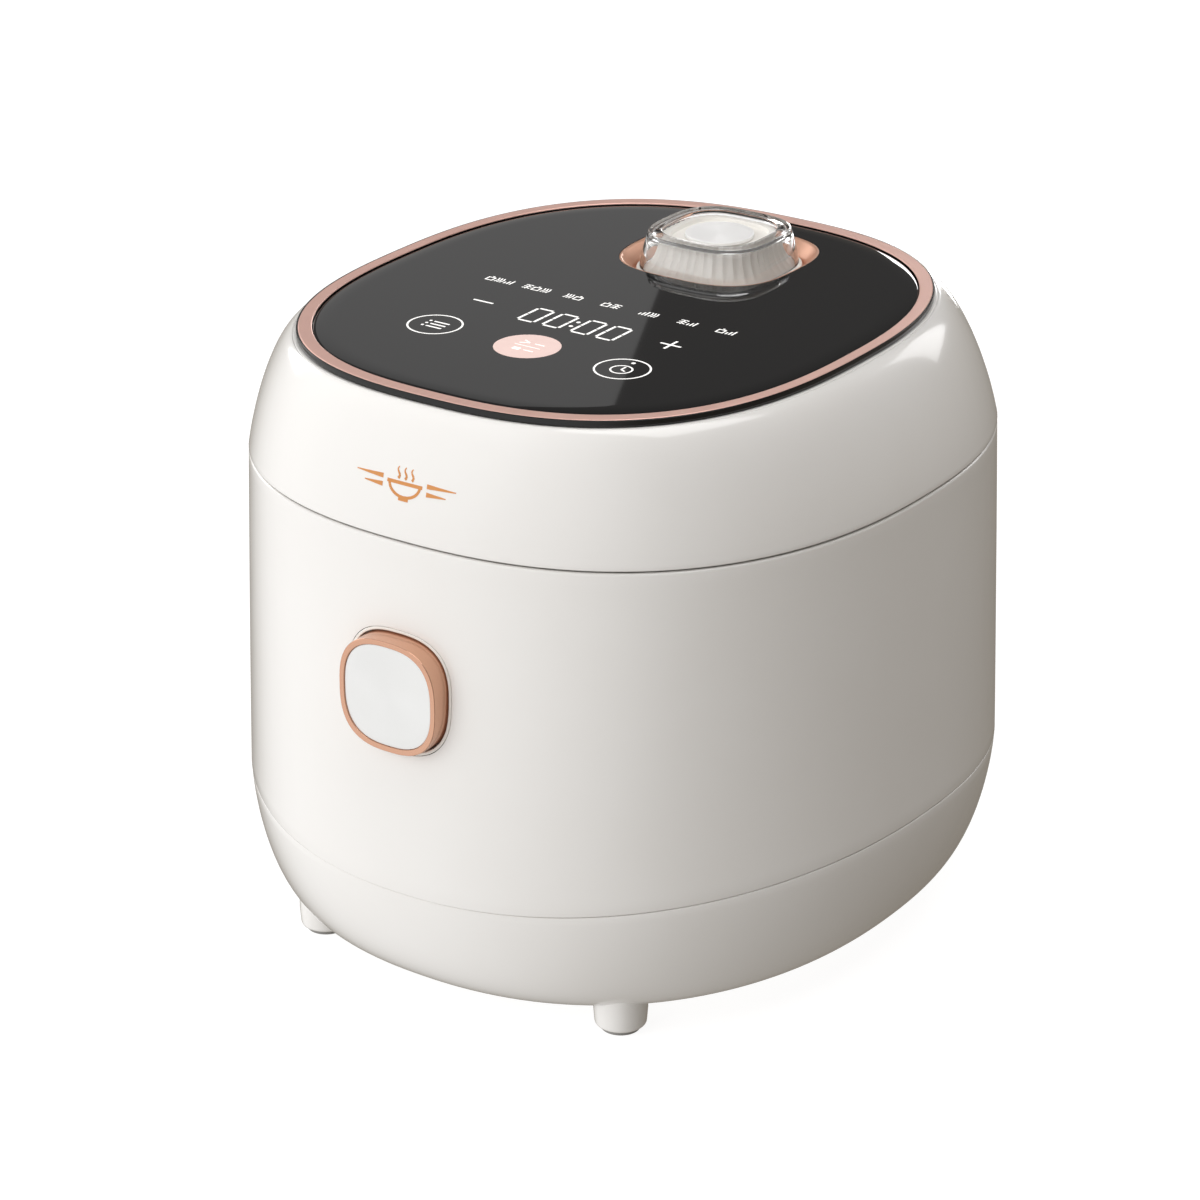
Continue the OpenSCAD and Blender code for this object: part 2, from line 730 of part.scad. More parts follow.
module inner_pot() {
    r_out = pot_r + pot_wall;
    color("#8c8c90") translate([0, 0, pot_bottom_z]) difference() {
        rotate_extrude() union() {
            square([r_out - pot_corner, pot_wall + 1]);
            translate([r_out - pot_corner, pot_corner]) intersection() {
                circle(r = pot_corner);
                translate([0, -pot_corner]) square(pot_corner);
            }
            translate([0, pot_corner - eps]) square([r_out, pot_deep + pot_wall - pot_corner + eps]);
            translate([0, pot_deep + pot_wall - pot_flange_t]) square([pot_flange_r, pot_flange_t]);
            square([r_out - pot_corner, pot_corner]);
        }
        rotate_extrude() union() {
            translate([pot_r - pot_corner, pot_corner + pot_wall]) intersection() {
                circle(r = pot_corner);
                translate([0, -pot_corner]) square(pot_corner);
            }
            translate([0, pot_corner + pot_wall - eps]) square([pot_r, pot_deep + 9]);
            translate([0, pot_wall]) square([pot_r - pot_corner, pot_corner]);
        }
    }
}

module heat_shield() {
    top = collar_z - 0.02;
    color(steel) translate([0, 0, shield_z]) difference() {
        union() {
            cylinder(r = shield_r + shield_wall, h = top - shield_z);
            translate([0, 0, top - shield_z - shield_wall]) cylinder(r = shield_r + 9, h = shield_wall);
        }
        translate([0, 0, shield_wall]) cylinder(r = shield_r, h = 200);
        translate([0, 0, -1]) cylinder(r = sensor_hole_r, h = 9);
    }
}

module heating_plate() {
    color("#b9babb") translate([0, 0, plate_z]) difference() {
        union() {
            translate([0, 0, 4]) cylinder(r = plate_r - 6, h = plate_t - 4);
            rotate_extrude() translate([element_r, element_wire]) circle(r = element_wire);
        }
        translate([0, 0, -1]) cylinder(r = sensor_hole_r, h = 30);
    }
}

module plate_insulators() {
    color("#eeece6") for (a = [30, 150, 270]) rotate(a)
        translate([(sensor_hole_r + element_r - 1) / 2, 0, shield_z + shield_wall])
            cylinder(r = 5, h = plate_z + 4 - shield_z - shield_wall);
}

module sensor_cap() {
    top = pot_bottom_z - 0.15;
    color(steel) translate([0, 0, top - 9]) difference() {
        cylinder(r = sensor_r, h = 9);
        translate([0, 0, -1]) cylinder(r = sensor_r - 1, h = 9);
    }
}

module sensor_spring() {
    wire = 0.9;
    low = shield_z - 6;
    high = pot_bottom_z - 1.3 - sensor_travel;
    turns = 5;
    color(steel) translate([0, 0, low + wire])
        sweep(helix(8, (high - low - 2 * wire) / turns, turns), wire, [0, 0, 1]);
}

module pressure_switch() {
    color("#34363a") translate([30, 22, base_z + 8]) cube([22, 14, 12]);
    color(steel) translate([41, 29, base_z + 20 - eps]) cylinder(r = 3, h = 3);
}

module thermal_fuse() {
    color("#d7d2c4") translate([-58, 0, shield_z - 5.2]) rotate([0, 90, 0]) cylinder(r = 3, h = 24);
    color(steel) translate([-50, -3.4, shield_z - 2.6]) cube([8, 6.8, 2.58]);
}

module power_board() {
    z = base_z + 8;
    color("#2f5c3e") translate([-56, -64, z]) cube([60, 46, 1.6]);
    color("#23252a") translate([-50, -58, z + 1.6 - eps]) cube([16, 14, 10]);
    color("#2c4fa0") translate([-28, -58, z + 1.6 - eps]) cube([16, 12, 9]);
    color(steel) for (x = [-30, -18, -6]) translate([x, -32, z + 1.6 - eps]) cylinder(r = 4, h = 9);
    color(white) for (x = [-52, 0]) for (y = [-60, -22])
        translate([x, y, base_z + shell_wall + 2.04]) cylinder(r = 1.6, h = 3.98);
}

module wiring() {
    route = [[-10, -26, 21], [4, 0, 21], [14, 26, 23], [20, 52, 24], [16, 76, 28], [8, 94, 38],
        [2, 102, 56], [0, 104, 78]];
    color("#b04a3c") sweep(route, 1.8, [1, 0, 0], 8);
}

// Mains inlet: a socket with three blades in it
module power_inlet() {
    back_y = rear_wall_y + 0.6;
    color("#222326") difference() {
        translate([-inlet_w / 2, back_y - inlet_deep, inlet_z - inlet_h / 2])
            cube([inlet_w, inlet_deep, inlet_h]);
        translate([-inlet_w / 2 + 2, back_y - inlet_deep + 3, inlet_z - inlet_h / 2 + 2])
            cube([inlet_w - 4, 40, inlet_h - 4]);
    }
    color(steel) for (p = [[-7, -2], [0, 3], [7, -2]])
        translate([p[0] - 1, back_y - inlet_deep - 4, inlet_z + p[1] - 2]) cube([2, inlet_deep - 2, 4]);
}

module bottom_screws() {
    color(steel) for (x = [-1, 1]) for (y = [-1, 1])
        translate([x * 52, y * 62, base_z + 0.02]) mirror([0, 0, 1]) screw(1.6, 3, 0.04);
}

// Cup at the back of the body with an open top
module condensate_box() {
    deep = box_out_y - box_in_y - 1;
    color([0.93, 0.93, 0.92]) difference() {
        translate([-box_w / 2, box_in_y + 1, box_z]) cube([box_w, deep, box_h]);
        translate([-box_w / 2 + box_wall, box_in_y + 1 + box_wall, box_z + box_wall])
            cube([box_w - 2 * box_wall, deep - 2 * box_wall, box_h]);
    }
}

// Sleeve inside the body that the cup slides in
module condensate_holder() {
    gap = 0.5;
    mouth_y = body_ry - rear_less - shell_wall - 10;
    color(white) difference() {
        translate([-box_w / 2 - gap - holder_wall, box_in_y - holder_wall, box_z - gap - holder_wall])
            cube([box_w + 2 * (gap + holder_wall), mouth_y - box_in_y, box_h + 2 * (gap + holder_wall)]);
        translate([-box_w / 2 - gap, box_in_y, box_z - gap]) cube([box_w + 2 * gap, 60, box_h + 2 * gap]);
    }
}

module button_surround() {
    color("#f7f6f3") difference() {
        front_prism(button_rx + surround_w, button_rz + surround_w, front_wall_y - 0.9, front_wall_y + 2.6);
        front_prism(button_rx + 0.6, button_rz + 0.6, -foot_ry - 9, 0);
    }
}

// Cup behind the wall that the button slides in
module button_guide() {
    color(white) difference() {
        front_prism(button_rx + 4, button_rz + 4, guide_y, guide_y + 9);
        front_prism(button_rx + 0.6, button_rz + 0.6, guide_y - 5, guide_y + 7);
        translate([0, 0, button_z]) rotate([90, 0, 0]) cylinder(r = stem_r + 0.3, h = 200);
    }
}

module button_bezel() {
    plug_back = guide_y + 7 - button_travel - 0.6;
    color(rose) difference() {
        front_prism(button_rx, button_rz, button_front_y, plug_back);
        front_prism(button_rx - bezel_w + 0.6, button_rz - bezel_w + 0.6, button_front_y - 1,
            button_front_y + 2);
    }
    color(rose) translate([0, hook_y - hook_t / 2 - 0.8, button_z]) rotate([90, 0, 0])
        cylinder(r = stem_r, h = hook_y - hook_t / 2 - 0.8 - plug_back + 1);
}

module button_disc() {
    color(steel) front_prism(button_rx - bezel_w + 0.5, button_rz - bezel_w + 0.5,
        button_front_y + 0.5, button_front_y + 1.98);
}

module button_spring() {
    wire = 0.6;
    from = guide_y + 9.1;
    turns = 4;
    span = hook_y - hook_t / 2 - 3.4 - from - 2 * wire;
    color(steel) translate([0, from + wire, button_z]) rotate([-90, 0, 0])
        sweep(helix(stem_r + 1.6, span / turns, turns), wire, [0, 0, 1]);
}

// Lever on a pin: its foot is pushed back by the button, its nose stands behind the striker
module latch_hook() {
    color(steel) difference() {
        union() {
            translate([-hook_w / 2, hook_y - hook_t / 2, button_z - 7])
                cube([hook_w, hook_t, hook_top_z - button_z + 7]);
            translate([-5, hook_y - hook_t / 2, hook_top_z - 4]) cube([10, hook_t + nose_out, 2.4]);
            translate([-hook_w / 2, hook_y, hook_pivot_z]) rotate([0, 90, 0])
                cylinder(r = 3.6, h = hook_w);
        }
        translate([-50, hook_y, hook_pivot_z]) rotate([0, 90, 0])
            cylinder(r = hook_pin_r + run_fit, h = 100);
    }
}

module latch_pin() {
    half = hook_w / 2 + 6;
    color(steel) {
        translate([-half, hook_y, hook_pivot_z]) rotate([0, 90, 0])
            cylinder(r = hook_pin_r, h = 2 * half);
        mirrored_x() difference() {
            translate([hook_w / 2 + 0.6, hook_y - 4, hook_pivot_z - 4])
                cube([4, 8, collar_z - hook_pivot_z + 4]);
            translate([0, hook_y, hook_pivot_z]) rotate([0, 90, 0]) cylinder(r = hook_pin_r, h = 60);
        }
    }
}

lid_shell();
panel_tray();
trim_ring();
control_glass();
valve_dish();
lid_liner();
inner_lid();
inner_lid_nut();
sealing_gasket();
anti_clog_cover();
steam_pipe();
display_board();
lid_striker();
hinge_arms();
hinge_pin();
lid_screws();
float_valve();
float_seal();
valve_weight();
valve_knob();
valve_disc();
valve_cap();
outer_shell();
base_shell();
bottom_cover();
rim_collar();
hinge_bracket();
hinge_cover();
hinge_springs();
foot(-1, -1);  // foot_front_left
foot(1, -1);  // foot_front_right
foot(-1, 1);  // foot_rear_left
foot(1, 1);  // foot_rear_right
foot_pads();
inner_pot();
heat_shield();
heating_plate();
plate_insulators();
sensor_cap();
sensor_spring();
pressure_switch();
thermal_fuse();
power_board();
wiring();
power_inlet();
bottom_screws();
condensate_box();
condensate_holder();
button_surround();
button_guide();
button_bezel();
button_disc();
button_spring();
latch_hook();
latch_pin();
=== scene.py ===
import math
import bpy
import bmesh
from mathutils import Matrix, Vector


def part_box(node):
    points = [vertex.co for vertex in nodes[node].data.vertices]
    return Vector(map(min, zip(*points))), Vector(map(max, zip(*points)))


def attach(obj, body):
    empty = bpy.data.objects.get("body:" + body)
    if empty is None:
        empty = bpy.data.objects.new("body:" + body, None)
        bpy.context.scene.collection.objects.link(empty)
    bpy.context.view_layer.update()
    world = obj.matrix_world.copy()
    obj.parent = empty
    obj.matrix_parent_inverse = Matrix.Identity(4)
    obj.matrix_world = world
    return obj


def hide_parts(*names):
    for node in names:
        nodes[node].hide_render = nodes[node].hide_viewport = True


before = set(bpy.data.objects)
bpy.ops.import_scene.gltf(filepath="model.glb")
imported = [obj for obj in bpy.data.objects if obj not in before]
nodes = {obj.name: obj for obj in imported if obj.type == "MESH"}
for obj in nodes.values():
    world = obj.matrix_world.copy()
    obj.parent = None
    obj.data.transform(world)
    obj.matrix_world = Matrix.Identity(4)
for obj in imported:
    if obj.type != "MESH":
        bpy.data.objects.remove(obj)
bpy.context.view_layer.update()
mm = 0.001
bpy.context.scene.view_settings.view_transform = "Standard"


def corners(node):  # lowest and highest corner of a CAD node, in millimetres
    low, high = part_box(node)
    return low / mm, high / mm


def middleOf(node):
    low, high = corners(node)
    return (low + high) / 2


# camera

view = {"azimuth": 34.562, "elevation": 23.543, "distance": 1.3757, "lens": 120.85, "sensor": 36.0,
        "target": (0.0057, -0.0256, 0.1156)}


def awayFrom(azimuth, elevation):  # unit vector towards a camera or a lamp; 0, 0 is straight in front
    az, el = math.radians(azimuth), math.radians(elevation)
    return Vector((math.sin(az) * math.cos(el), -math.cos(az) * math.cos(el), math.sin(el)))


def makeCamera():
    data = bpy.data.cameras.new("camera")
    data.lens, data.sensor_width = view["lens"], view["sensor"]
    data.clip_start, data.clip_end = 0.05, 60.0
    cam = bpy.data.objects.new("camera", data)
    away = awayFrom(view["azimuth"], view["elevation"])
    cam.location = Vector(view["target"]) + away * view["distance"]
    cam.rotation_euler = (math.radians(90 - view["elevation"]), 0, math.radians(view["azimuth"]))
    bpy.context.scene.collection.objects.link(cam)
    bpy.context.scene.camera = cam


# materials

def linear(hexColour):
    parts = [int(hexColour[i:i + 2], 16) / 255 for i in (1, 3, 5)]
    return tuple(c / 12.92 if c <= 0.04045 else ((c + 0.055) / 1.055) ** 2.4 for c in parts) + (1.0,)


def addNode(tree, kind, settings=None, **links):
    node = tree.nodes.new(kind)
    for key, value in (settings or {}).items():
        if isinstance(key, str) and hasattr(node, key):
            setattr(node, key, value)
        else:
            node.inputs[key].default_value = value
    for key, source in links.items():
        tree.links.new(source, node.inputs[key.replace("_", " ")])
    return node


def newMaterial(name, settings):
    material = bpy.data.materials.new(name)
    material.use_nodes = True
    tree = material.node_tree
    shader = tree.nodes["Principled BSDF"]
    for key, value in settings.items():
        shader.inputs[key].default_value = value
    where = addNode(tree, "ShaderNodeTexCoord").outputs["Object"]
    return material, tree, shader, where


# colour, roughness and relief that wander a little, as on any moulded or plated face
def surfaceDetail(tree, shader, where, colours, blotch, rough, grain, height):
    broad = addNode(tree, "ShaderNodeTexNoise", {"Scale": 1 / (blotch * mm), "Detail": 3.0}, Vector=where)
    shade = addNode(tree, "ShaderNodeMix", {"data_type": "RGBA", 6: linear(colours[0]),
                                            7: linear(colours[1])})
    tree.links.new(broad.outputs["Fac"], shade.inputs[0])
    tree.links.new(shade.outputs[2], shader.inputs["Base Color"])
    gloss = addNode(tree, "ShaderNodeMapRange", {"From Min": 0.3, "From Max": 0.7, "To Min": rough[0],
                                                 "To Max": rough[1]}, Value=broad.outputs["Fac"])
    tree.links.new(gloss.outputs["Result"], shader.inputs["Roughness"])
    fine = addNode(tree, "ShaderNodeTexNoise", {"Scale": 1 / (grain * mm), "Detail": 2.0}, Vector=where)
    relief = addNode(tree, "ShaderNodeBump", {"Strength": 1.0, "Distance": height * mm},
                     Height=fine.outputs["Fac"])
    tree.links.new(relief.outputs["Normal"], shader.inputs["Normal"])
    return relief


# high-gloss ABS, injection moulded and pearl painted: a warm milky white with a faint orange peel
def moulded(name, colours, rough, coat=0.0, grain=2.4, height=0.004):
    material, tree, shader, where = newMaterial(name, {"IOR": 1.49, "Coat Weight": coat,
                                                       "Coat Roughness": 0.06})
    surfaceDetail(tree, shader, where, colours, 40, rough, grain, height)
    return material


# plated and lacquered metal: the colour is in the reflection, with a fine satin under it
def plated(name, colours, rough, grain=0.6, height=0.002, metal=1.0):
    material, tree, shader, where = newMaterial(name, {"Metallic": metal})
    surfaceDetail(tree, shader, where, colours, 12, rough, grain, height)
    return material


waveRepeat = 0.314  # a Wave texture of scale 1 repeats over this length


# aluminium faced on a lathe: fine rings round the middle draw the light out into a fan
def spun(name, colours, rough, centre, turn, axis, pitch, metal):
    material, tree, shader, where = newMaterial(name, {"Metallic": metal, "Anisotropic": 0.7})
    placed = addNode(tree, "ShaderNodeMapping", {"vector_type": "TEXTURE", "Location": centre,
                                                 "Rotation": turn}, Vector=where)
    relief = surfaceDetail(tree, shader, where, colours, 10, rough, 0.8, 0.0005)
    rings = addNode(tree, "ShaderNodeTexWave", {"wave_type": "RINGS", "rings_direction": "Z",
                                                "Scale": waveRepeat / (pitch * mm), "Distortion": 0.0,
                                                "Detail": 0.0}, Vector=placed.outputs["Vector"])
    grooves = addNode(tree, "ShaderNodeBump", {"Strength": 0.5, "Distance": 0.01 * mm},
                      Height=rings.outputs["Fac"], Normal=relief.outputs["Normal"])
    tree.links.new(grooves.outputs["Normal"], shader.inputs["Normal"])
    tangent = addNode(tree, "ShaderNodeTangent", {"direction_type": "RADIAL", "axis": axis})
    tree.links.new(tangent.outputs["Tangent"], shader.inputs["Tangent"])
    return material


# acrylic, moulded and polished: clear, and bright where it turns
def clearPlastic(name):
    material, tree, shader, where = newMaterial(name, {"Transmission Weight": 1.0, "IOR": 1.49})
    surfaceDetail(tree, shader, where, ("#ffffff", "#fbfcfc"), 30, (0.0, 0.02), 8.0, 0.002)
    return material


# ink fired on the back of the glass, or lit from behind: flat and even, with the print's grain
def printed(name, colours, glow):
    material, tree, shader, where = newMaterial(name, {"Emission Strength": glow,
                                                       "Emission Color": linear(colours[0])})
    surfaceDetail(tree, shader, where, colours, 3, (0.3, 0.45), 0.3, 0.001)
    return material


finish = {
    "shellWhite": moulded("glossy pearl ABS", ("#f1eeea", "#f5f3f0"), (0.16, 0.2), coat=0.5),
    "knobWhite": moulded("satin white ABS", ("#f4f0e9", "#f8f5ef"), (0.3, 0.36), grain=0.8),
    "innerWhite": moulded("heat-proof white PP", ("#e6e2da", "#ebe8e1"), (0.4, 0.5), grain=0.7),
    "trayBlack": moulded("gloss black ABS", ("#0b0a0a", "#100f0f"), (0.12, 0.2)),
    "inletBlack": moulded("spark-eroded black nylon", ("#191a1b", "#212224"), (0.45, 0.6), grain=0.4,
                          height=0.02),
    "glassBlack": moulded("back-printed tempered glass", ("#101010", "#121212"), (0.02, 0.03),
                          grain=30, height=0.001),
    "ringRose": plated("rose gold anodised aluminium", ("#e2b5a8", "#e7beb1"), (0.4, 0.5),
                       metal=0.45),
    "bezelRose": plated("polished rose gold plating", ("#dca98c", "#e2b298"), (0.16, 0.24),
                        metal=0.85),
    "dishRose": plated("satin rose gold anodising", ("#d9a68b", "#dfaf96"), (0.38, 0.46), metal=0.6),
    "markRose": plated("hot-stamped copper foil", ("#d9935a", "#e6a56c"), (0.25, 0.35)),
    "steel": plated("stamped stainless steel", ("#c2c3c3", "#cccdcd"), (0.28, 0.38), grain=0.3,
                    height=0.004),
    "springSteel": plated("drawn spring wire", ("#a9aaac", "#bcbdbe"), (0.2, 0.3), grain=0.3),
    "castGrey": plated("sand-cast aluminium", ("#a9aaab", "#b9babb"), (0.45, 0.6), grain=1.2,
                       height=0.05),
    "potGrey": plated("non-stick coated aluminium", ("#55565a", "#5d5e62"), (0.38, 0.5), grain=0.5,
                      height=0.01),
    "clear": clearPlastic("clear acrylic"),
    "gum": moulded("food-grade silicone", ("#dddcd6", "#e6e5e0"), (0.5, 0.62), grain=0.5, height=0.01),
    "padGum": moulded("grey silicone", ("#8b8986", "#979592"), (0.6, 0.7), grain=0.5, height=0.01),
    "floatRed": moulded("red silicone", ("#a8321f", "#b53a2e"), (0.45, 0.55), grain=0.6, height=0.01),
    "boardGreen": moulded("solder-masked board", ("#1f3f2c", "#274a35"), (0.3, 0.4), grain=1.0,
                          height=0.02),
    "ceramic": moulded("pressed steatite", ("#e6e0d2", "#eeeadf"), (0.5, 0.6), grain=0.4, height=0.02),
    "sleeve": moulded("woven glass sleeve", ("#cfc9ba", "#d9d4c6"), (0.7, 0.85), grain=0.3,
                      height=0.05),
    "wireRed": moulded("PVC wire cover", ("#8f3024", "#a03a2d"), (0.35, 0.45), grain=0.6),
    "cupWhite": moulded("frosted PP", ("#dedddb", "#e6e5e3"), (0.3, 0.42), grain=0.7),
    "ink": printed("lit white ink", ("#f4f2ee", "#ffffff"), 0.5),
    "keyPink": printed("pink key ink", ("#f2d3cb", "#f6dad2"), 0.12),
}
print("materials made")


# shaping tools

def eggPoint(angle, rx, ry, n, less):  # superellipse whose rear half is shallower
    c, s = math.cos(angle), math.sin(angle)
    half = ry - less if s > 0 else ry
    reach = (abs(c / rx) ** n + abs(s / half) ** n) ** (-1 / n)
    return reach * c, reach * s


def ring(rx, ry, n, z, cy=0.0, less=0.0):  # one level outline of a loft
    def place(angle):
        x, y = eggPoint(angle, rx, ry, n, less)
        return Vector((x, y + cy, z))
    return place


# a tube is extruded from a unit circle level by level, then each level is put on its outline
def loft(rings, segments=192, closed=False, capStart=False, capEnd=False):
    bm = bmesh.new()
    bmesh.ops.create_circle(bm, segments=segments, radius=1.0)
    first = bm.edges[:]
    last = first
    if capStart:
        bmesh.ops.contextual_create(bm, geom=first)
    for _ in rings[1:]:
        grown = bmesh.ops.extrude_edge_only(bm, edges=last)["geom"]
        verts = [g for g in grown if isinstance(g, bmesh.types.BMVert)]
        bmesh.ops.translate(bm, verts=verts, vec=(0, 0, 1))
        last = [g for g in grown if isinstance(g, bmesh.types.BMEdge) and
                g.verts[0] in verts and g.verts[1] in verts]
    if closed:
        bmesh.ops.bridge_loops(bm, edges=first + last)
    if capEnd:
        bmesh.ops.contextual_create(bm, geom=last)
    for v in bm.verts:
        v.co = rings[round(v.co.z)](math.atan2(v.co.y, v.co.x))
    bmesh.ops.recalc_face_normals(bm, faces=bm.faces[:])
    return bm


def arc(radius, steps, start=0, end=90):  # (inset, drop) pairs along a rounded edge
    turns = [math.radians(start + (end - start) * i / steps) for i in range(steps + 1)]
    return [(radius * (1 - math.cos(a)), radius * (1 - math.sin(a))) for a in turns]


def block(low, high):
    bm = bmesh.new()
    bmesh.ops.create_cube(bm, size=1.0)
    low, high = Vector(low), Vector(high)
    bmesh.ops.scale(bm, vec=high - low, verts=bm.verts)
    bmesh.ops.translate(bm, vec=(low + high) / 2, verts=bm.verts)
    return bm


def barrel(radius, low, high, y, z, segments=96, endRadius=None):  # round bar along X
    bm = bmesh.new()
    bmesh.ops.create_cone(bm, cap_ends=True, segments=segments, radius1=radius,
                          radius2=radius if endRadius is None else endRadius, depth=high - low)
    bmesh.ops.rotate(bm, matrix=Matrix.Rotation(math.pi / 2, 3, "Y"), verts=bm.verts)
    bmesh.ops.translate(bm, vec=((low + high) / 2, y, z), verts=bm.verts)
    return bm


def merge(bm, other):
    spare = bpy.data.meshes.new("spare")
    other.to_mesh(spare)
    bm.from_mesh(spare)
    bpy.data.meshes.remove(spare)
    other.free()
    return bm


def softShade(mesh, degrees):
    mesh.polygons.foreach_set("use_smooth", [True] * len(mesh.polygons))
    mesh.set_sharp_from_angle(angle=math.radians(degrees))


def meshObject(bm, name):
    bmesh.ops.scale(bm, vec=(mm, mm, mm), verts=bm.verts)
    mesh = bpy.data.meshes.new(name)
    bm.to_mesh(mesh)
    bm.free()
    made = bpy.data.objects.new(name, mesh)
    bpy.context.scene.collection.objects.link(made)
    return made


def cutAway(piece, cutter):
    tool = meshObject(cutter, "cutter")
    cut = piece.modifiers.new("cut", "BOOLEAN")
    cut.object, cut.operation, cut.solver = tool, "DIFFERENCE", "EXACT"
    graph = bpy.context.evaluated_depsgraph_get()
    shaped = bpy.data.meshes.new_from_object(piece.evaluated_get(graph))
    piece.modifiers.clear()
    spent = [piece.data, tool.data]
    piece.data = shaped
    bpy.data.objects.remove(tool)
    for mesh in spent:
        bpy.data.meshes.remove(mesh)


def finishPiece(bm, name, body, replaced, material, cutters=(), degrees=35):
    piece = meshObject(bm, name)
    for cutter in cutters:
        cutAway(piece, cutter)
    softShade(piece.data, degrees)
    piece.data.materials.append(finish[material])
    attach(piece, body)
    if replaced:
        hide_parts(replaced)
    return piece


# shape of the whole, from the frame

lidLow, lidHigh = corners("lid_shell")
shellLow, shellHigh = corners("outer_shell")
baseLow = corners("base_shell")[0]
ringLow, ringHigh = corners("trim_ring")
glassLow, glassHigh = corners("control_glass")
hingeLow, hingeHigh = corners("hinge_cover")
hingeAxis = middleOf("hinge_pin")

shape = {"halfWidth": lidHigh.x, "halfFront": -lidLow.y, "rearLess": 4.3, "planSquareness": 2.37,
         "footSquareness": 2.15, "wall": 2.4, "seamZ": 60.0, "seamDip": 10.5,
         "shellTop": shellHigh.z, "lidLow": lidLow.z, "lidTop": lidHigh.z,
         "edgeRound": 0.9, "seamRound": 0.35, "seamGap": 0.15, "rings": 26}
shape["flare"] = -shellLow.y - shape["halfFront"]


def seamAt(y):
    reach = min(1, abs(y) / (shape["halfFront"] + shape["flare"]))
    return shape["seamZ"] - shape["seamDip"] * reach ** 2


# body side wall

def wallRing(share, inset, drop=0.0):  # share 0 is the base seam and 1 the rim
    def place(angle):
        z = shape["seamZ"]
        for _ in range(3):
            w = (shape["shellTop"] - z) / (shape["shellTop"] - shape["seamZ"])
            x, y = eggPoint(angle, shape["halfWidth"] + shape["flare"] * w - inset,
                            shape["halfFront"] + shape["flare"] * w - inset,
                            shape["planSquareness"] + (shape["footSquareness"] -
                                                       shape["planSquareness"]) * w, shape["rearLess"])
            low = seamAt(y) + shape["seamGap"]
            z = low + (shape["shellTop"] - low) * share + drop
        return Vector((x, y, z))
    return place


wallHoles = {"boxGap": 0.5, "inletGap": 0.3, "inletInset": 6.0, "past": 20.0, "buttonFront": 9.0,
             "buttonBack": 6.0}


def rearHole(node, gap, inset):  # a cutter round a CAD node that stands in the rear wall
    low, high = corners(node)
    return block((low.x - gap, low.y + inset, low.z - gap),
                 (high.x + gap, high.y + wallHoles["past"], high.z + gap))


def makeOuterShell():
    radius, count, wall = shape["edgeRound"], shape["rings"], shape["wall"]
    rings = [wallRing(0, inset, drop) for inset, drop in arc(shape["seamRound"], 3)[::-1]]
    rings += [wallRing(k / count, 0) for k in range(1, count)]
    rings += [wallRing(1, inset, -drop) for inset, drop in arc(radius, 6)]
    rings += [wallRing(1, wall, -radius)]
    rings += [wallRing(k / 4, wall) for k in (3, 2, 1, 0)]
    bm = loft(rings, closed=True)
    low, high = corners("button_surround")
    rx, rz = high.x + button["gap"], (high.z - low.z) / 2 + button["gap"]
    ends = (shellLow.y - wallHoles["buttonFront"], high.y + wallHoles["buttonBack"])
    cutters = [loft([buttonRing(rx, rz, y) for y in ends], 128, capStart=True, capEnd=True),
               rearHole("condensate_box", wallHoles["boxGap"], 0),
               rearHole("power_inlet", wallHoles["inletGap"], wallHoles["inletInset"])]
    return finishPiece(bm, "outerShell", "body", "outer_shell", "shellWhite", cutters)


# base bowl

base = {"floorZ": baseLow.z, "halfWidth": 88.5, "halfDepth": 107.3, "squareness": 2.3, "rings": 40,
        "hole": 12.0}


def bowlRing(share, inset, lift=0.0):
    out = (1 - (1 - share) ** 1.476) ** 0.297 if share < 1 else 1.0

    def place(angle):
        rx = base["halfWidth"] + (shape["halfWidth"] + shape["flare"] - base["halfWidth"]) * out - inset
        ry = base["halfDepth"] + (shape["halfFront"] + shape["flare"] - base["halfDepth"]) * out - inset
        n = base["squareness"] + (shape["footSquareness"] - base["squareness"]) * out
        x, y = eggPoint(angle, rx, ry, n, shape["rearLess"])
        rise = seamAt(y) - shape["seamGap"] - base["floorZ"]
        return Vector((x, y, base["floorZ"] + rise * share + lift))
    return place


def makeBaseShell():
    count, wall = base["rings"], shape["wall"]
    hole = (base["halfWidth"] - base["hole"], base["halfDepth"] - base["hole"], 2)
    rings = [ring(*hole, base["floorZ"], less=shape["rearLess"])]
    rings += [bowlRing((k / count) ** 3, 0) for k in range(count)]
    rings += [bowlRing(1, inset, -drop) for inset, drop in arc(shape["seamRound"], 3)]
    rings += [bowlRing((k / 10) ** 3, wall, wall * (1 - k / 10)) for k in range(10, -1, -1)]
    rings += [ring(*hole, base["floorZ"] + wall, less=shape["rearLess"])]
    return finishPiece(loft(rings, closed=True), "baseShell", "body", "base_shell",
                       "shellWhite")


# lid

lid = {"topHalfWidth": 95.5, "topHalfDepth": 111.0, "topSquareness": 2.54, "shift": 5.7, "rings": 34,
       "edgeRound": 0.6, "topRound": 0.5, "topEdge": 5.6, "hingeGap": 0.8, "slotDeep": 8.0}


def lidShare(share):  # how far the wall has come in at this share of the height
    return 1 - (1 - share ** 1.2) ** 0.629


def lidOutline(share):
    w = lidShare(share)
    return (shape["halfWidth"] + (lid["topHalfWidth"] - shape["halfWidth"]) * w,
            shape["halfFront"] + (lid["topHalfDepth"] - shape["halfFront"]) * w,
            shape["planSquareness"] + (lid["topSquareness"] - shape["planSquareness"]) * w,
            -lid["shift"] * w, shape["rearLess"] * (1 - w))


def lidRing(share, inset=0.0, lift=0.0):
    rx, ry, n, cy, less = lidOutline(share)
    z = shape["lidLow"] + (shape["lidTop"] - shape["lidLow"]) * share + lift
    return ring(rx - inset, ry - inset, n, z, cy, less)


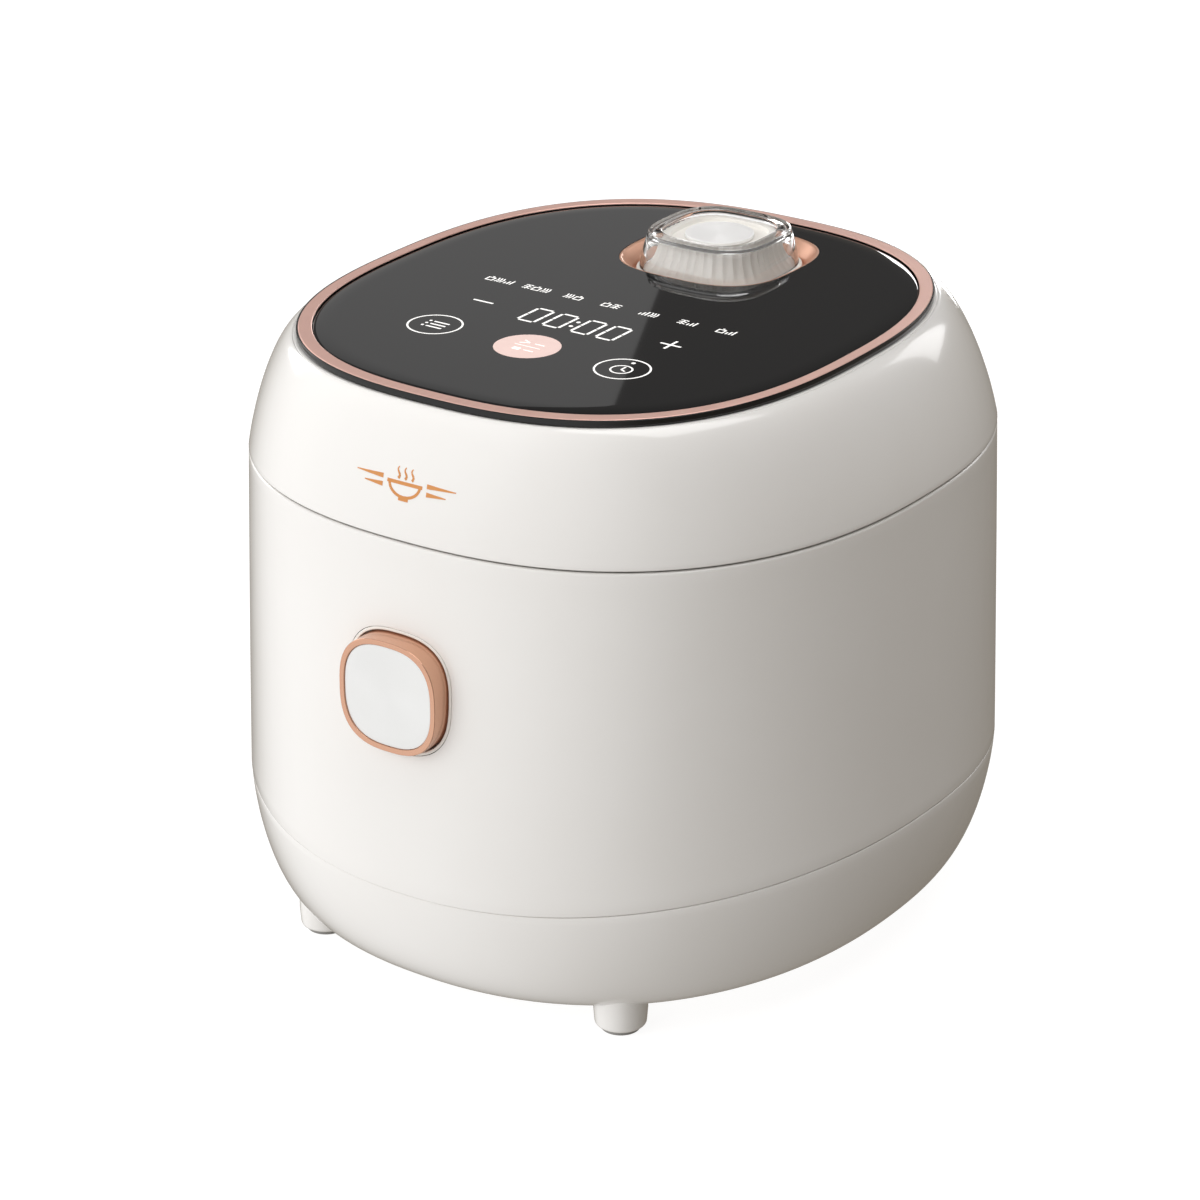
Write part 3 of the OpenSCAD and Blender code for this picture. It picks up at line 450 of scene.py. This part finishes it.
def makeLidShell():
    count, radius, wall = lid["rings"], lid["edgeRound"], shape["wall"]
    steps = [1 - (1 - k / count) ** 1.7 for k in range(count + 1)]
    rings = [lidRing(0, inset, drop) for inset, drop in arc(radius, 5)[::-1]]
    rings += [lidRing(s) for s in steps[1:-1]]
    rings += [lidRing(1, inset, -drop * 0.5) for inset, drop in arc(lid["topRound"], 3)]
    rings += [lidRing(1, lid["topEdge"])]
    rings += [lidRing(s, wall + (lid["topEdge"] - wall) * s) for s in (0.9, 0.75, 0.5, 0.25, 0.0)]
    bm = loft(rings, closed=True)
    half = hingeHigh.x + lid["hingeGap"]
    notch = barrel(hingeHigh.y - hingeAxis.y + lid["hingeGap"], -half, half, hingeAxis.y, hingeAxis.z)
    slotBelow = block((-half, hingeAxis.y, shape["lidLow"] - 1),
                      (half, hingeAxis.y + 60, shape["lidLow"] + lid["slotDeep"]))
    return finishPiece(bm, "lidShell", "lid", "lid_shell", "shellWhite",
                       [notch, slotBelow])


# panel on the lid: tray, ring and glass

panel = {"cy": -lid["shift"], "squareness": 2.54, "glassBevel": 7.0, "glassDrop": 0.85, "glassSeat": 3.5,
         "glassGap": 0.2, "ringGap": 0.05, "ringChamfer": 0.3, "ringInnerGap": 0.25, "rimBelowRing": 0.15,
         "trayFlange": 5.0, "valveY": middleOf("valve_cap").y}
dishHalf = corners("valve_dish")[1].x


def panelRing(high, grow, z):  # an outline on the panel, grown from the far corner of one of its pieces
    return ring(high.x + grow, high.y - panel["cy"] + grow, panel["squareness"], z, panel["cy"])


def valveRing(half, z, n=3.0):  # an outline round the valve: a rounded square, or a circle when n is 2
    return ring(half, half, n, z, panel["valveY"])


def valveHole(gap, low, high, segments):  # a cutter through the panel for the dish
    rings = [valveRing(dishHalf + gap, low), valveRing(dishHalf + gap, high)]
    return loft(rings, segments, capStart=True, capEnd=True)


def makePanelTray():
    trayLow, trayHigh = corners("panel_tray")
    skin, rim = shape["lidTop"] + 0.1, ringHigh.z - panel["rimBelowRing"]
    ringSeat, glassSeat = ringLow.z - 0.05, glassLow.z - 0.02
    flange, gap, ledge = panel["trayFlange"], panel["glassGap"], panel["glassSeat"]
    rings = [panelRing(trayHigh, -flange, trayLow.z), panelRing(trayHigh, -flange, skin),
             panelRing(trayHigh, -0.3, skin)]
    rings += [panelRing(trayHigh, -inset, skin + drop) for inset, drop in arc(0.3, 3)[::-1]]
    rings += [panelRing(trayHigh, -inset, rim - drop) for inset, drop in arc(0.25, 3)]
    rings += [panelRing(ringHigh, panel["ringGap"], z) for z in (rim, ringSeat)]
    rings += [panelRing(glassHigh, gap, z) for z in (ringSeat, glassSeat)]
    rings += [panelRing(glassHigh, -ledge, z) for z in (glassSeat, trayLow.z + 2)]
    bm = loft(rings, capStart=True, capEnd=True)
    hole = valveHole(0.4, trayLow.z - 5, trayLow.z + 9, 96)
    return finishPiece(bm, "panelTray", "lid", "panel_tray", "trayBlack", [hole])


def makeTrimRing():
    low, top, chamfer = ringLow.z, ringHigh.z, panel["ringChamfer"]
    profile = ((0, low), (0, top - chamfer), (chamfer * 0.4, top - chamfer * 0.4), (chamfer, top),
               (chamfer + 0.1, top))
    rings = [panelRing(ringHigh, -inset, z) for inset, z in profile]
    rings += [panelRing(glassHigh, panel["ringInnerGap"] + inset, z) for inset, z in profile[::-1]]
    return finishPiece(loft(rings, 256, closed=True), "trimRing", "lid", "trim_ring",
                       "ringRose", degrees=28)


def makeControlGlass():
    low, top, bevel = glassLow.z, glassHigh.z, panel["glassBevel"]
    rings = [panelRing(glassHigh, -0.2, low), panelRing(glassHigh, 0, low + 0.2)]
    for k in range(13):
        a = math.radians(90 * k / 12)
        fall = panel["glassDrop"] * (1 - math.sin(a))
        rings.append(panelRing(glassHigh, -bevel * (1 - math.cos(a)), top - fall))
    rings.append(panelRing(glassHigh, -bevel - 1, top))
    bm = loft(rings, 256, capStart=True, capEnd=True)
    hole = valveHole(0.05, low - 3, top + 3, 128)
    return finishPiece(bm, "controlGlass", "lid", "control_glass", "glassBlack", [hole],
                       degrees=20)


# marks on the glass

marks = {"clockX": (-18.9, -8.9, 2.5, 12.5), "clockY": (-39.6, -26.0), "digitWidth": 7.4, "stroke": 0.95,
         "keyY": -59.1, "keyX": 37.5, "keyRadius": 9.5, "startRadius": 11.2, "signY": -31.5,
         "signX": 37.8, "signHalf": 4.0, "signStroke": 0.9, "keyStroke": 0.65, "dot": 0.75,
         "digitGap": 0.55, "colonHalf": 2.2, "colonX": 0.5, "iconY": -10.6, "iconPitch": 15.3,
         "iconStep": 3.8, "height": 0.05, "overKey": 0.03}
inkLow = glassHigh.z - 0.02


def bar(bm, start, end, width, lift=0.0):  # one printed stroke
    start, end = Vector(start), Vector(end)
    stroke = bmesh.new()
    bmesh.ops.create_cube(stroke, size=1.0)
    bmesh.ops.scale(stroke, vec=((end - start).length, width, marks["height"]), verts=stroke.verts)
    turn = math.atan2(end.y - start.y, end.x - start.x)
    bmesh.ops.rotate(stroke, matrix=Matrix.Rotation(turn, 3, "Z"), verts=stroke.verts)
    middle = (start + end) / 2
    bmesh.ops.translate(stroke, vec=(middle.x, middle.y, inkLow + lift + marks["height"] / 2),
                        verts=stroke.verts)
    return merge(bm, stroke)


def disc(bm, x, y, radius, lift=0.0, sides=48):
    dot = bmesh.new()
    bmesh.ops.create_cone(dot, cap_ends=True, segments=sides, radius1=radius, radius2=radius,
                          depth=marks["height"])
    bmesh.ops.translate(dot, vec=(x, y, inkLow + lift + marks["height"] / 2), verts=dot.verts)
    return merge(bm, dot)


def hoop(bm, x, y, radius, width, lift=0.0, sides=72):
    low, high = inkLow + lift, inkLow + lift + marks["height"]
    made = loft([ring(r, r, 2, z, y) for r, z in ((radius, low), (radius, high), (radius - width, high),
                                                 (radius - width, low))], sides, closed=True)
    bmesh.ops.translate(made, vec=(x, 0, 0), verts=made.verts)
    return merge(bm, made)


def makeClock():
    bm = bmesh.new()
    low, high = marks["clockY"]
    middle, gap, wide, stroke = (low + high) / 2, marks["digitGap"], marks["digitWidth"], marks["stroke"]
    for x in marks["clockX"]:
        left, right = x + stroke / 2, x + wide - stroke / 2
        for y in (low + stroke / 2, high - stroke / 2):
            bar(bm, (left + gap, y), (right - gap, y), stroke)
        for side in (left, right):
            bar(bm, (side, low + gap + stroke / 2), (side, middle - gap / 2), stroke)
            bar(bm, (side, middle + gap / 2), (side, high - gap - stroke / 2), stroke)
    for y in (middle - marks["colonHalf"], middle + marks["colonHalf"]):
        disc(bm, marks["colonX"], y, marks["dot"], sides=16)
    return finishPiece(bm, "clockDigits", "lid", None, "ink")


def makeKeys():
    bm = bmesh.new()
    x, y, stroke = marks["keyX"], marks["keyY"], marks["keyStroke"]
    for side in (-x, x):
        hoop(bm, side, y, marks["keyRadius"], stroke)
    for k in (-1, 0, 1):  # menu: three lines
        disc(bm, -x - 3.4, y + k * 2.4, 0.55, sides=16)
        bar(bm, (-x - 1.9, y + k * 2.4), (-x + 4.2, y + k * 2.4), 0.8)
    hoop(bm, x, y - 0.6, 3.9, 0.6, sides=40)  # timer: a clock face
    bar(bm, (x, y - 0.6), (x, y + 2.0), stroke)
    bar(bm, (x, y - 0.6), (x + 1.9, y - 1.6), stroke)
    disc(bm, x, y + 6.4, marks["dot"], sides=16)
    signX, signY, half, bold = marks["signX"], marks["signY"], marks["signHalf"], marks["signStroke"]
    for side in (-signX, signX):  # minus and plus
        bar(bm, (side - half, signY), (side + half, signY), bold)
    bar(bm, (signX, signY - half), (signX, signY + half), bold)
    finishPiece(bm, "touchKeys", "lid", None, "ink")
    start = disc(bmesh.new(), 0, y, marks["startRadius"], sides=72)
    finishPiece(start, "startKey", "lid", None, "keyPink")
    sign, lift = bmesh.new(), marks["overKey"]
    bar(sign, (-5, y), (5, y), 0.35, lift)  # start over stop
    for k in (-1, 1):
        bar(sign, (-4.2 + k * 0.2, y + 3.2 + k * 1.4), (-1.2, y + 3.2), 0.5, lift)
    bar(sign, (0.8, y + 3.2), (4.6, y + 3.2), 0.5, lift)
    bar(sign, (-3.4, y - 3.4), (-0.6, y - 3.4), 2.0, lift)
    bar(sign, (0.8, y - 3.4), (4.6, y - 3.4), 0.5, lift)
    finishPiece(sign, "startKeySigns", "lid", None, "ink")


def potSign(bm, x, y):
    bar(bm, (x - 1.5, y + 0.9), (x + 1.5, y + 0.9), 0.5)
    bar(bm, (x - 1.2, y - 1.7), (x + 1.2, y - 1.7), 0.5)
    for side in (-1.3, 1.3):
        bar(bm, (x + side, y - 1.9), (x + side, y + 0.9), 0.5)
    bar(bm, (x - 0.4, y + 1.8), (x + 0.4, y + 1.8), 0.6)


def steamSign(bm, x, y):
    for side in (-1.1, 0, 1.1):
        bar(bm, (x + side - 0.25, y - 1.9), (x + side + 0.25, y), 0.5)
        bar(bm, (x + side + 0.25, y), (x + side - 0.25, y + 1.9), 0.5)


def levelSign(bm, x, y):
    for step in range(3):
        bar(bm, (x - 1.2 + step * 1.2, y - 1.9), (x - 1.2 + step * 1.2, y - 0.2 + step), 0.6)


def grainSign(bm, x, y):
    for level in (-1.5, 0, 1.5):
        bar(bm, (x - 1.5, y + level), (x - 0.4, y + level + 0.4), 0.55)
        bar(bm, (x + 0.4, y + level + 0.4), (x + 1.5, y + level), 0.55)
    bar(bm, (x, y - 2.0), (x, y + 2.0), 0.45)


def makeProgramIcons():  # rows of small signs that stand for the cooking programmes
    bm = bmesh.new()
    rows = ((potSign, steamSign, levelSign), (grainSign, potSign, steamSign), (steamSign, potSign),
            (potSign, grainSign), (levelSign, steamSign), (grainSign, levelSign), (potSign, levelSign))
    for k, signs in enumerate(rows):
        middle = (k - 3) * marks["iconPitch"]
        for place, sign in enumerate(signs):
            x = middle + (place - (len(signs) - 1) / 2) * marks["iconStep"]
            sign(bm, x, marks["iconY"])
    return finishPiece(bm, "programIcons", "lid", None, "ink")


# ornament on the front of the lid

crest = {"height": 18.5, "relief": 0.08, "sunk": 0.3, "stroke": 0.95, "bowlHalf": 6.0, "bowlDeep": 4.4,
         "dashStart": 8.6, "dashes": ((0.9, 19.5), (-1.7, 16.0))}


def onLid(x, z, lift):  # a point on the front of the lid wall
    share = (z - shape["lidLow"]) / (shape["lidTop"] - shape["lidLow"])
    rx, ry, n, cy = lidOutline(share)[:4]
    return Vector((x, cy - ry * (1 - abs(x / rx) ** n) ** (1 / n) - lift, z))


def crestStroke(bm, start, end, width, endWidth):
    made = bmesh.new()
    bmesh.ops.create_cube(made, size=1.0)
    start, end = Vector(start), Vector(end)
    along = end - start
    across = Vector((-along.y, along.x)).normalized()
    for v in made.verts:
        wide = width if v.co.x < 0 else endWidth
        flat = start + along * (v.co.x + 0.5) + across * v.co.y * wide
        v.co = onLid(flat.x, shape["lidLow"] + crest["height"] + flat.y,
                     crest["relief"] if v.co.z > 0 else -crest["sunk"])
    return merge(bm, made)


def makeLidCrest():
    bm = bmesh.new()
    half, deep, stroke = crest["bowlHalf"], crest["bowlDeep"], crest["stroke"]
    start = crest["dashStart"]
    turns = [math.radians(180 + 15 * k) for k in range(13)]
    rim = [Vector((half * math.cos(a), deep * math.sin(a))) for a in turns]
    for a, b in zip(rim, rim[1:]):
        crestStroke(bm, a, b, stroke, stroke)
    crestStroke(bm, (-half - 0.9, 0), (half + 0.9, 0), stroke * 1.2, stroke * 1.2)
    crestStroke(bm, (-1.9, -deep - 0.7), (1.9, -deep - 0.7), stroke, stroke)
    for side in (-1, 0, 1):  # steam
        wisp = [Vector((side * 2.7 + 0.5 * math.sin(math.radians(60 * k)), 1.3 + 0.62 * k))
                for k in range(7)]
        for k, (a, b) in enumerate(zip(wisp, wisp[1:])):
            crestStroke(bm, a, b, stroke * (1 - 0.1 * k), stroke * (0.9 - 0.1 * k))
    for side in (-1, 1):  # dashes that taper away
        for lift, reach in crest["dashes"]:
            for k in range(4):
                near, far = (start + (reach - start) * step / 4 for step in (k, k + 1))
                crestStroke(bm, (side * near, lift), (side * far, lift), 1.5 - 0.3 * k, 1.2 - 0.3 * k)
    bmesh.ops.recalc_face_normals(bm, faces=bm.faces[:])
    return finishPiece(bm, "lidCrest", "lid", None, "markRose")


# pressure valve under its clear cap

valve = {"floorHalf": 27.0, "dishHole": 10.5, "dishLip": 0.7, "dishFloor": 1.4, "flutes": 40,
         "fluteDeep": 0.75, "knobFlange": 1.6, "knobBore": 9.2, "knobWell": 15.4, "wellDeep": 1.2,
         "discRadius": 12.0, "capTop": 22.4, "capHole": 18.0, "capWall": 1.3, "capRound": 0.9}
capLow, capHigh = corners("valve_cap")
knobLow, knobHigh = corners("valve_knob")


def makeValveDish():
    low, top, half = corners("valve_dish")[0].z, glassHigh.z - 0.05, dishHalf
    floor, lip, reach = low + valve["dishFloor"], half - valve["dishLip"], valve["floorHalf"]
    rings = [valveRing(valve["dishHole"], low, 2), valveRing(reach + 1, low),
             valveRing(half - 0.4, low + 1.5), valveRing(half, top - 0.4)]
    rings += [valveRing(half - inset, top - drop) for inset, drop in arc(0.3, 3)]
    rings += [valveRing(lip, top - 0.1)]
    for k in range(1, 13):  # a hollow slope down to the floor
        s = math.sin(math.radians(90 * k / 12))
        rise = 0.5 * (1 - s) + 0.5 * (1 - k / 12)
        rings.append(valveRing(lip - (lip - reach) * s, floor + (top - floor) * rise))
    rings.append(valveRing(valve["dishHole"], floor, 2))
    return finishPiece(loft(rings, 160, closed=True), "valveDish", "lid", "valve_dish",
                       "dishRose")


def fluted(half, z, deep):  # the same outline, scalloped all round
    def place(angle):
        x, y = eggPoint(angle, half, half, 3.0, 0.0)
        wave = abs(math.sin(angle * valve["flutes"] / 2))
        share = 1 - deep * wave / half
        return Vector((x * share, panel["valveY"] + y * share, z))
    return place


def makeValveKnob():
    low, flange, edge, top = knobLow.z, knobLow.z + valve["knobFlange"], knobHigh.x, capHigh.z - 1.9
    wide, narrow = capHigh.x - valve["capWall"] - 0.5, valve["capTop"] - 3.8
    bore, well, wellFloor = valve["knobBore"], valve["knobWell"], top - valve["wellDeep"]
    rings = [valveRing(bore, low, 2), valveRing(edge - 0.3, low), valveRing(edge, low + 0.3)]
    rings += [valveRing(edge - inset, flange - drop) for inset, drop in arc(0.4, 3)]
    for k in range(0, 17):
        s = k / 16
        half = narrow + (wide - narrow) * (1 - s) ** 1.7
        rings.append(fluted(half, flange + 0.05 + (top - 0.5 - flange) * s ** 1.2,
                            valve["fluteDeep"] * min(1, s * 2.2 + 0.15)))
    rings += [fluted(narrow - inset, top - drop, valve["fluteDeep"] * (1 - inset))
              for inset, drop in arc(0.5, 3)]
    rings += [valveRing(well, top), valveRing(well - 0.4, wellFloor), valveRing(bore, wellFloor, 2)]
    return finishPiece(loft(rings, valve["flutes"] * 8, closed=True), "valveKnob", "valve", "valve_knob",
                       "knobWhite", degrees=50)


def makeValveDisc():
    low = corners("valve_disc")[0].z
    r, z, top = valve["discRadius"], low - 0.6, low + 0.5
    rings = [valveRing(r, z, 2)]
    rings += [valveRing(r - inset, top - drop, 2) for inset, drop in arc(0.3, 3)]
    rings += [valveRing(r * s, top - 0.25 * (1 - s), 2) for s in (0.8, 0.6, 0.4, 0.2)]
    return finishPiece(loft(rings, 96, capStart=True, capEnd=True), "valveDisc", "valve", "valve_disc",
                       "spunValve")


def makeValveCap():
    low, top, skirt = capLow.z, capHigh.z, capHigh.x
    crown, hole, wall = valve["capTop"], valve["capHole"], valve["capWall"]
    rings = [valveRing(skirt - 0.3, low), valveRing(skirt, low + 0.3)]
    for k in range(1, 9):
        s = k / 8
        rings.append(valveRing(skirt + (crown - skirt) * s ** 1.4, low + 0.3 + (top - 1.3 - low) * s))
    rings += [valveRing(crown - inset, top - drop) for inset, drop in arc(valve["capRound"], 5, 10, 90)]
    rings += [valveRing(hole + inset, top - drop) for inset, drop in arc(0.4, 3)[::-1]]
    rings += [valveRing(hole, top - 1.2), valveRing(hole + 0.3, top - 1.5)]
    rings += [valveRing(crown - 2.4, top - 1.6), valveRing(crown - wall - 0.2, top - 2.4)]
    for k in range(7, -1, -1):  # back down the inside of the wall
        s = k / 8
        rings.append(valveRing(skirt - wall + (crown - skirt) * s ** 1.4, low + (top - 2.4 - low) * s))
    return finishPiece(loft(rings, 160, closed=True), "valveCap", "valve", "valve_cap",
                       "clear", degrees=40)


# release button

button = {"squareness": 2.7, "face": 2.0, "faceDeep": 1.6, "flare": 0.1, "taper": 7.0, "trim": 1.0,
          "trimDeep": 2.2, "trimProud": 0.12, "gap": 0.2, "reach": 0.3, "setBack": 0.5, "discGap": 0.08,
          "discSetBack": 0.4, "discDish": 0.3}


def buttonRing(rx, rz, y):  # a rounded square that faces front
    middle = middleOf("button_bezel").z

    def place(angle):
        x, z = eggPoint(angle, rx, rz, button["squareness"], 0.0)
        return Vector((x, y, middle + z))
    return place


def frontAt(x, z):  # the side wall's front face
    w = (shape["shellTop"] - z) / (shape["shellTop"] - shape["seamZ"])
    n = shape["planSquareness"] + (shape["footSquareness"] - shape["planSquareness"]) * w
    half, front = shape["halfWidth"] + shape["flare"] * w, shape["halfFront"] + shape["flare"] * w
    return -front * (1 - abs(x / half) ** n) ** (1 / n)


def trimRingAt(rx, rz, depth):  # a ring that follows the side wall
    flat = buttonRing(rx, rz, 0)

    def place(angle):
        point = flat(angle)
        return Vector((point.x, frontAt(point.x, point.z) + depth, point.z))
    return place


def makeButton():
    low, high = corners("button_bezel")
    rx, rz = high.x + button["reach"], (high.z - low.z) / 2 + button["reach"]
    front, back = low.y + button["setBack"], corners("button_guide")[0].y + 3
    face, flare, taper = button["face"], button["flare"], button["taper"]
    rings = [buttonRing(rx + flare, rz + flare, back), buttonRing(rx + flare, rz + flare, front + taper)]
    rings += [buttonRing(rx - flare * (1 - k / 4), rz - flare * (1 - k / 4), front + taper * (k + 0.4) / 5)
              for k in (4, 3, 2, 1, 0)]
    rings += [buttonRing(rx - flare - inset, rz - flare - inset, front + drop)
              for inset, drop in arc(0.3, 4)]
    rings += [buttonRing(rx - face + inset, rz - face + inset, front + drop)
              for inset, drop in arc(0.3, 3)[::-1]]
    rings += [buttonRing(rx - face, rz - face, front + button["faceDeep"])]
    finishPiece(loft(rings, 160, capStart=True, capEnd=True), "buttonBezel", "button", "button_bezel",
                "bezelRose")
    rx, rz = rx - face - button["discGap"], rz - face - button["discGap"]
    front, dish = corners("button_disc")[0].y + button["discSetBack"], button["discDish"]
    rings = [buttonRing(rx, rz, front + 1.2)]
    rings += [buttonRing(rx - inset, rz - inset, front + drop) for inset, drop in arc(0.25, 3)]
    rings += [buttonRing(rx * s, rz * s, front + dish * (1 - s * s)) for s in (0.8, 0.6, 0.4, 0.2)]
    finishPiece(loft(rings, 128, capStart=True, capEnd=True), "buttonDisc", "button", "button_disc",
                "spunButton")


def makeButtonSurround():
    low, high = corners("button_surround")
    rx, rz, trim, proud = high.x, (high.z - low.z) / 2, button["trim"], button["trimProud"]
    rings = [trimRingAt(rx, rz, button["trimDeep"])]
    rings += [trimRingAt(rx - inset, rz - inset, drop - proud) for inset, drop in arc(0.25, 3)]
    rings += [trimRingAt(rx - trim + inset, rz - trim + inset, drop - proud)
              for inset, drop in arc(0.3, 3)[::-1]]
    rings += [trimRingAt(rx - trim, rz - trim, button["trimDeep"])]
    finishPiece(loft(rings, 160, closed=True), "buttonSurround", "body", "button_surround",
                "knobWhite")


# hinge cover and feet

hingeCover = {"edgeBevel": 1.6, "segments": 128}
foot = {"sole": 2.4, "edgeRound": 1.6, "taper": 0.35, "taperHeight": 6.0}


def makeHingeCover():
    half, r = hingeHigh.x, hingeHigh.y - hingeAxis.y
    bm = barrel(r, -half, half, hingeAxis.y, hingeAxis.z, hingeCover["segments"])
    ends = [e for e in bm.edges if abs(abs(e.verts[0].co.x) - half) < 0.01 and
            abs(e.verts[0].co.x - e.verts[1].co.x) < 0.01]
    bmesh.ops.bevel(bm, geom=ends, offset=hingeCover["edgeBevel"], affect="EDGES", segments=4,
                    profile=0.5, material=-1)
    bmesh.ops.bisect_plane(bm, geom=bm.verts[:] + bm.edges[:] + bm.faces[:],
                           plane_co=(0, 0, hingeLow.z), plane_no=(0, 0, -1), clear_outer=True)
    bmesh.ops.holes_fill(bm, edges=[e for e in bm.edges if e.is_boundary], sides=0)
    bmesh.ops.recalc_face_normals(bm, faces=bm.faces[:])
    return finishPiece(bm, "hingeCover", "body", "hinge_cover", "shellWhite")


def makeFeet():
    for corner in ("front_left", "front_right", "rear_left", "rear_right"):
        low, high = corners("foot_" + corner)
        r, taper = (high.x - low.x) / 2, foot["taper"]
        rings = [ring(r - foot["sole"], r - foot["sole"], 2, low.z)]
        rings += [ring(r - inset - taper, r - inset - taper, 2, low.z + drop)
                  for inset, drop in arc(foot["edgeRound"], 6)[::-1]]
        rings += [ring(r, r, 2, z) for z in (low.z + foot["taperHeight"], high.z)]
        bm = loft(rings, 64, capStart=True, capEnd=True)
        bmesh.ops.translate(bm, vec=((low.x + high.x) / 2, (low.y + high.y) / 2, 0), verts=bm.verts)
        name = "foot" + "".join(word.title() for word in corner.split("_"))
        finishPiece(bm, name, "body", "foot_" + corner, "shellWhite")


# studio

studio = {"floorSize": 40.0, "floorGlow": 0.88, "low": "#888177", "lowAt": 0.02, "high": "#6c6a69",
          "highAt": 0.3, "bright": "#ffffff", "brightSide": (-0.5, -0.865, -0.05),
          "brightFrom": -0.1, "brightTo": 0.8, "aim": (0, 0, 0.12)}
lights = {
    "key": {"azimuth": -24, "elevation": 20, "distance": 1.7, "size": (1.3, 1.1), "power": 7,
            "shines": False},
    "overhead": {"azimuth": 100, "elevation": 76, "distance": 1.5, "size": (1.2, 1.2), "power": 12},
    "glassCard": {"azimuth": 222, "elevation": 22, "distance": 1.95, "size": (0.5, 0.9), "power": 0.45,
                  "roll": -24},
    "edgeStrip": {"azimuth": 200, "elevation": 4, "distance": 2.0, "size": (0.35, 0.9), "power": 8},
    "leftCard": {"azimuth": 262, "elevation": 20, "distance": 1.8, "size": (0.7, 0.8), "power": 5},
    "rightCard": {"azimuth": 166, "elevation": 22, "distance": 1.8, "size": (0.5, 0.6), "power": 2.5},
}


def areaLight(name, azimuth, elevation, distance, size, power, roll=0.0, shines=True):
    away = awayFrom(azimuth, elevation)
    data = bpy.data.lights.new(name, "AREA")
    data.shape, data.size, data.size_y, data.energy = "RECTANGLE", size[0], size[1], power
    lamp = bpy.data.objects.new(name, data)
    lamp.location = Vector(studio["aim"]) + away * distance
    lamp.rotation_euler = (away.to_track_quat("Z", "Y").to_matrix() @
                           Matrix.Rotation(math.radians(roll), 3, "Z")).to_euler()
    lamp.visible_camera, lamp.visible_glossy = False, shines
    bpy.context.scene.collection.objects.link(lamp)


def makeFloor():
    bm = bmesh.new()
    bmesh.ops.create_grid(bm, x_segments=8, y_segments=8, size=studio["floorSize"] / 2)
    mesh = bpy.data.meshes.new("floor")
    bm.to_mesh(mesh)
    bm.free()
    floor = bpy.data.objects.new("floor", mesh)
    bpy.context.scene.collection.objects.link(floor)
    floor.visible_diffuse = floor.visible_glossy = False
    material, tree, shader, where = newMaterial("pale paper", {"Roughness": 0.9, "IOR": 1.3,
                                                               "Emission Strength": studio["floorGlow"],
                                                               "Emission Color": linear("#ffffff")})
    surfaceDetail(tree, shader, where, ("#8b8a89", "#918f8e"), 400, (0.85, 0.95), 2.0, 0.01)
    mesh.materials.append(material)


def makeWorld():  # grey that darkens upwards, with a bright side at the front left
    world = bpy.data.worlds.new("studio")
    world.use_nodes = True
    tree = world.node_tree
    where = addNode(tree, "ShaderNodeTexCoord").outputs["Generated"]
    height = addNode(tree, "ShaderNodeSeparateXYZ", Vector=where)
    ramp = addNode(tree, "ShaderNodeValToRGB", Fac=height.outputs["Z"])
    for stop, level in zip(ramp.color_ramp.elements, ("low", "high")):
        stop.position, stop.color = studio[level + "At"], linear(studio[level])
    facing = addNode(tree, "ShaderNodeVectorMath", {"operation": "DOT_PRODUCT", 1: studio["brightSide"]})
    tree.links.new(where, facing.inputs[0])
    spread = addNode(tree, "ShaderNodeMapRange", {"interpolation_type": "SMOOTHSTEP",
                                                  "From Min": studio["brightFrom"],
                                                  "From Max": studio["brightTo"]},
                     Value=facing.outputs["Value"])
    both = addNode(tree, "ShaderNodeMix", {"data_type": "RGBA", 7: linear(studio["bright"])})
    tree.links.new(spread.outputs["Result"], both.inputs[0])
    tree.links.new(ramp.outputs["Color"], both.inputs[6])
    tree.links.new(both.outputs[2], tree.nodes["Background"].inputs["Color"])
    bpy.context.scene.world = world


def writeSizes():
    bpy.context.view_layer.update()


# what the CAD nodes that stay are made of

cadFinish = {
    "innerWhite": ["lid_liner", "bottom_cover", "rim_collar", "button_guide", "condensate_holder"],
    "inletBlack": ["pressure_switch", "power_inlet"],
    "steel": ["inner_lid", "inner_lid_nut", "anti_clog_cover", "steam_pipe", "lid_striker", "hinge_arms",
              "hinge_pin", "lid_screws", "valve_weight", "hinge_bracket", "heat_shield", "bottom_screws",
              "latch_hook", "latch_pin", "sensor_cap"],
    "springSteel": ["hinge_springs", "sensor_spring", "button_spring"],
    "gum": ["sealing_gasket", "float_seal"], "padGum": ["foot_pads"], "floatRed": ["float_valve"],
    "boardGreen": ["display_board", "power_board"], "potGrey": ["inner_pot"],
    "castGrey": ["heating_plate"], "ceramic": ["plate_insulators"], "sleeve": ["thermal_fuse"],
    "wireRed": ["wiring"], "cupWhite": ["condensate_box"],
}


def dressCadNodes():
    for name, group in cadFinish.items():
        for node in group:
            mesh = nodes[node].data
            mesh.materials.clear()
            mesh.materials.append(finish[name])


# the turned faces have their rings round their own middles
finish["spunButton"] = spun("spun aluminium", ("#efefed", "#f4f4f3"), (0.34, 0.4),
                            (0, 0, middleOf("button_bezel").z * mm), (math.pi / 2, 0, 0), "Y", 0.6, 0.55)
finish["spunValve"] = spun("spun aluminium cap", ("#f6f5f3", "#fbfaf9"), (0.3, 0.36),
                           (0, panel["valveY"] * mm, 0), (0, 0, 0), "Z", 0.6, 0.1)

makeCamera()
makeOuterShell()
makeBaseShell()
makeLidShell()
makeLidCrest()
print("shells made")
makePanelTray()
makeTrimRing()
makeControlGlass()
makeClock()
makeKeys()
makeProgramIcons()
print("panel made")
makeValveDish()
makeValveKnob()
makeValveDisc()
makeValveCap()
makeButton()
makeButtonSurround()
print("valve and button made")
makeHingeCover()
makeFeet()
dressCadNodes()
print("hinge cover and feet made, CAD pieces dressed")
makeFloor()
makeWorld()
for lightName, settings in lights.items():
    areaLight(lightName, **settings)
print("studio made")
writeSizes()
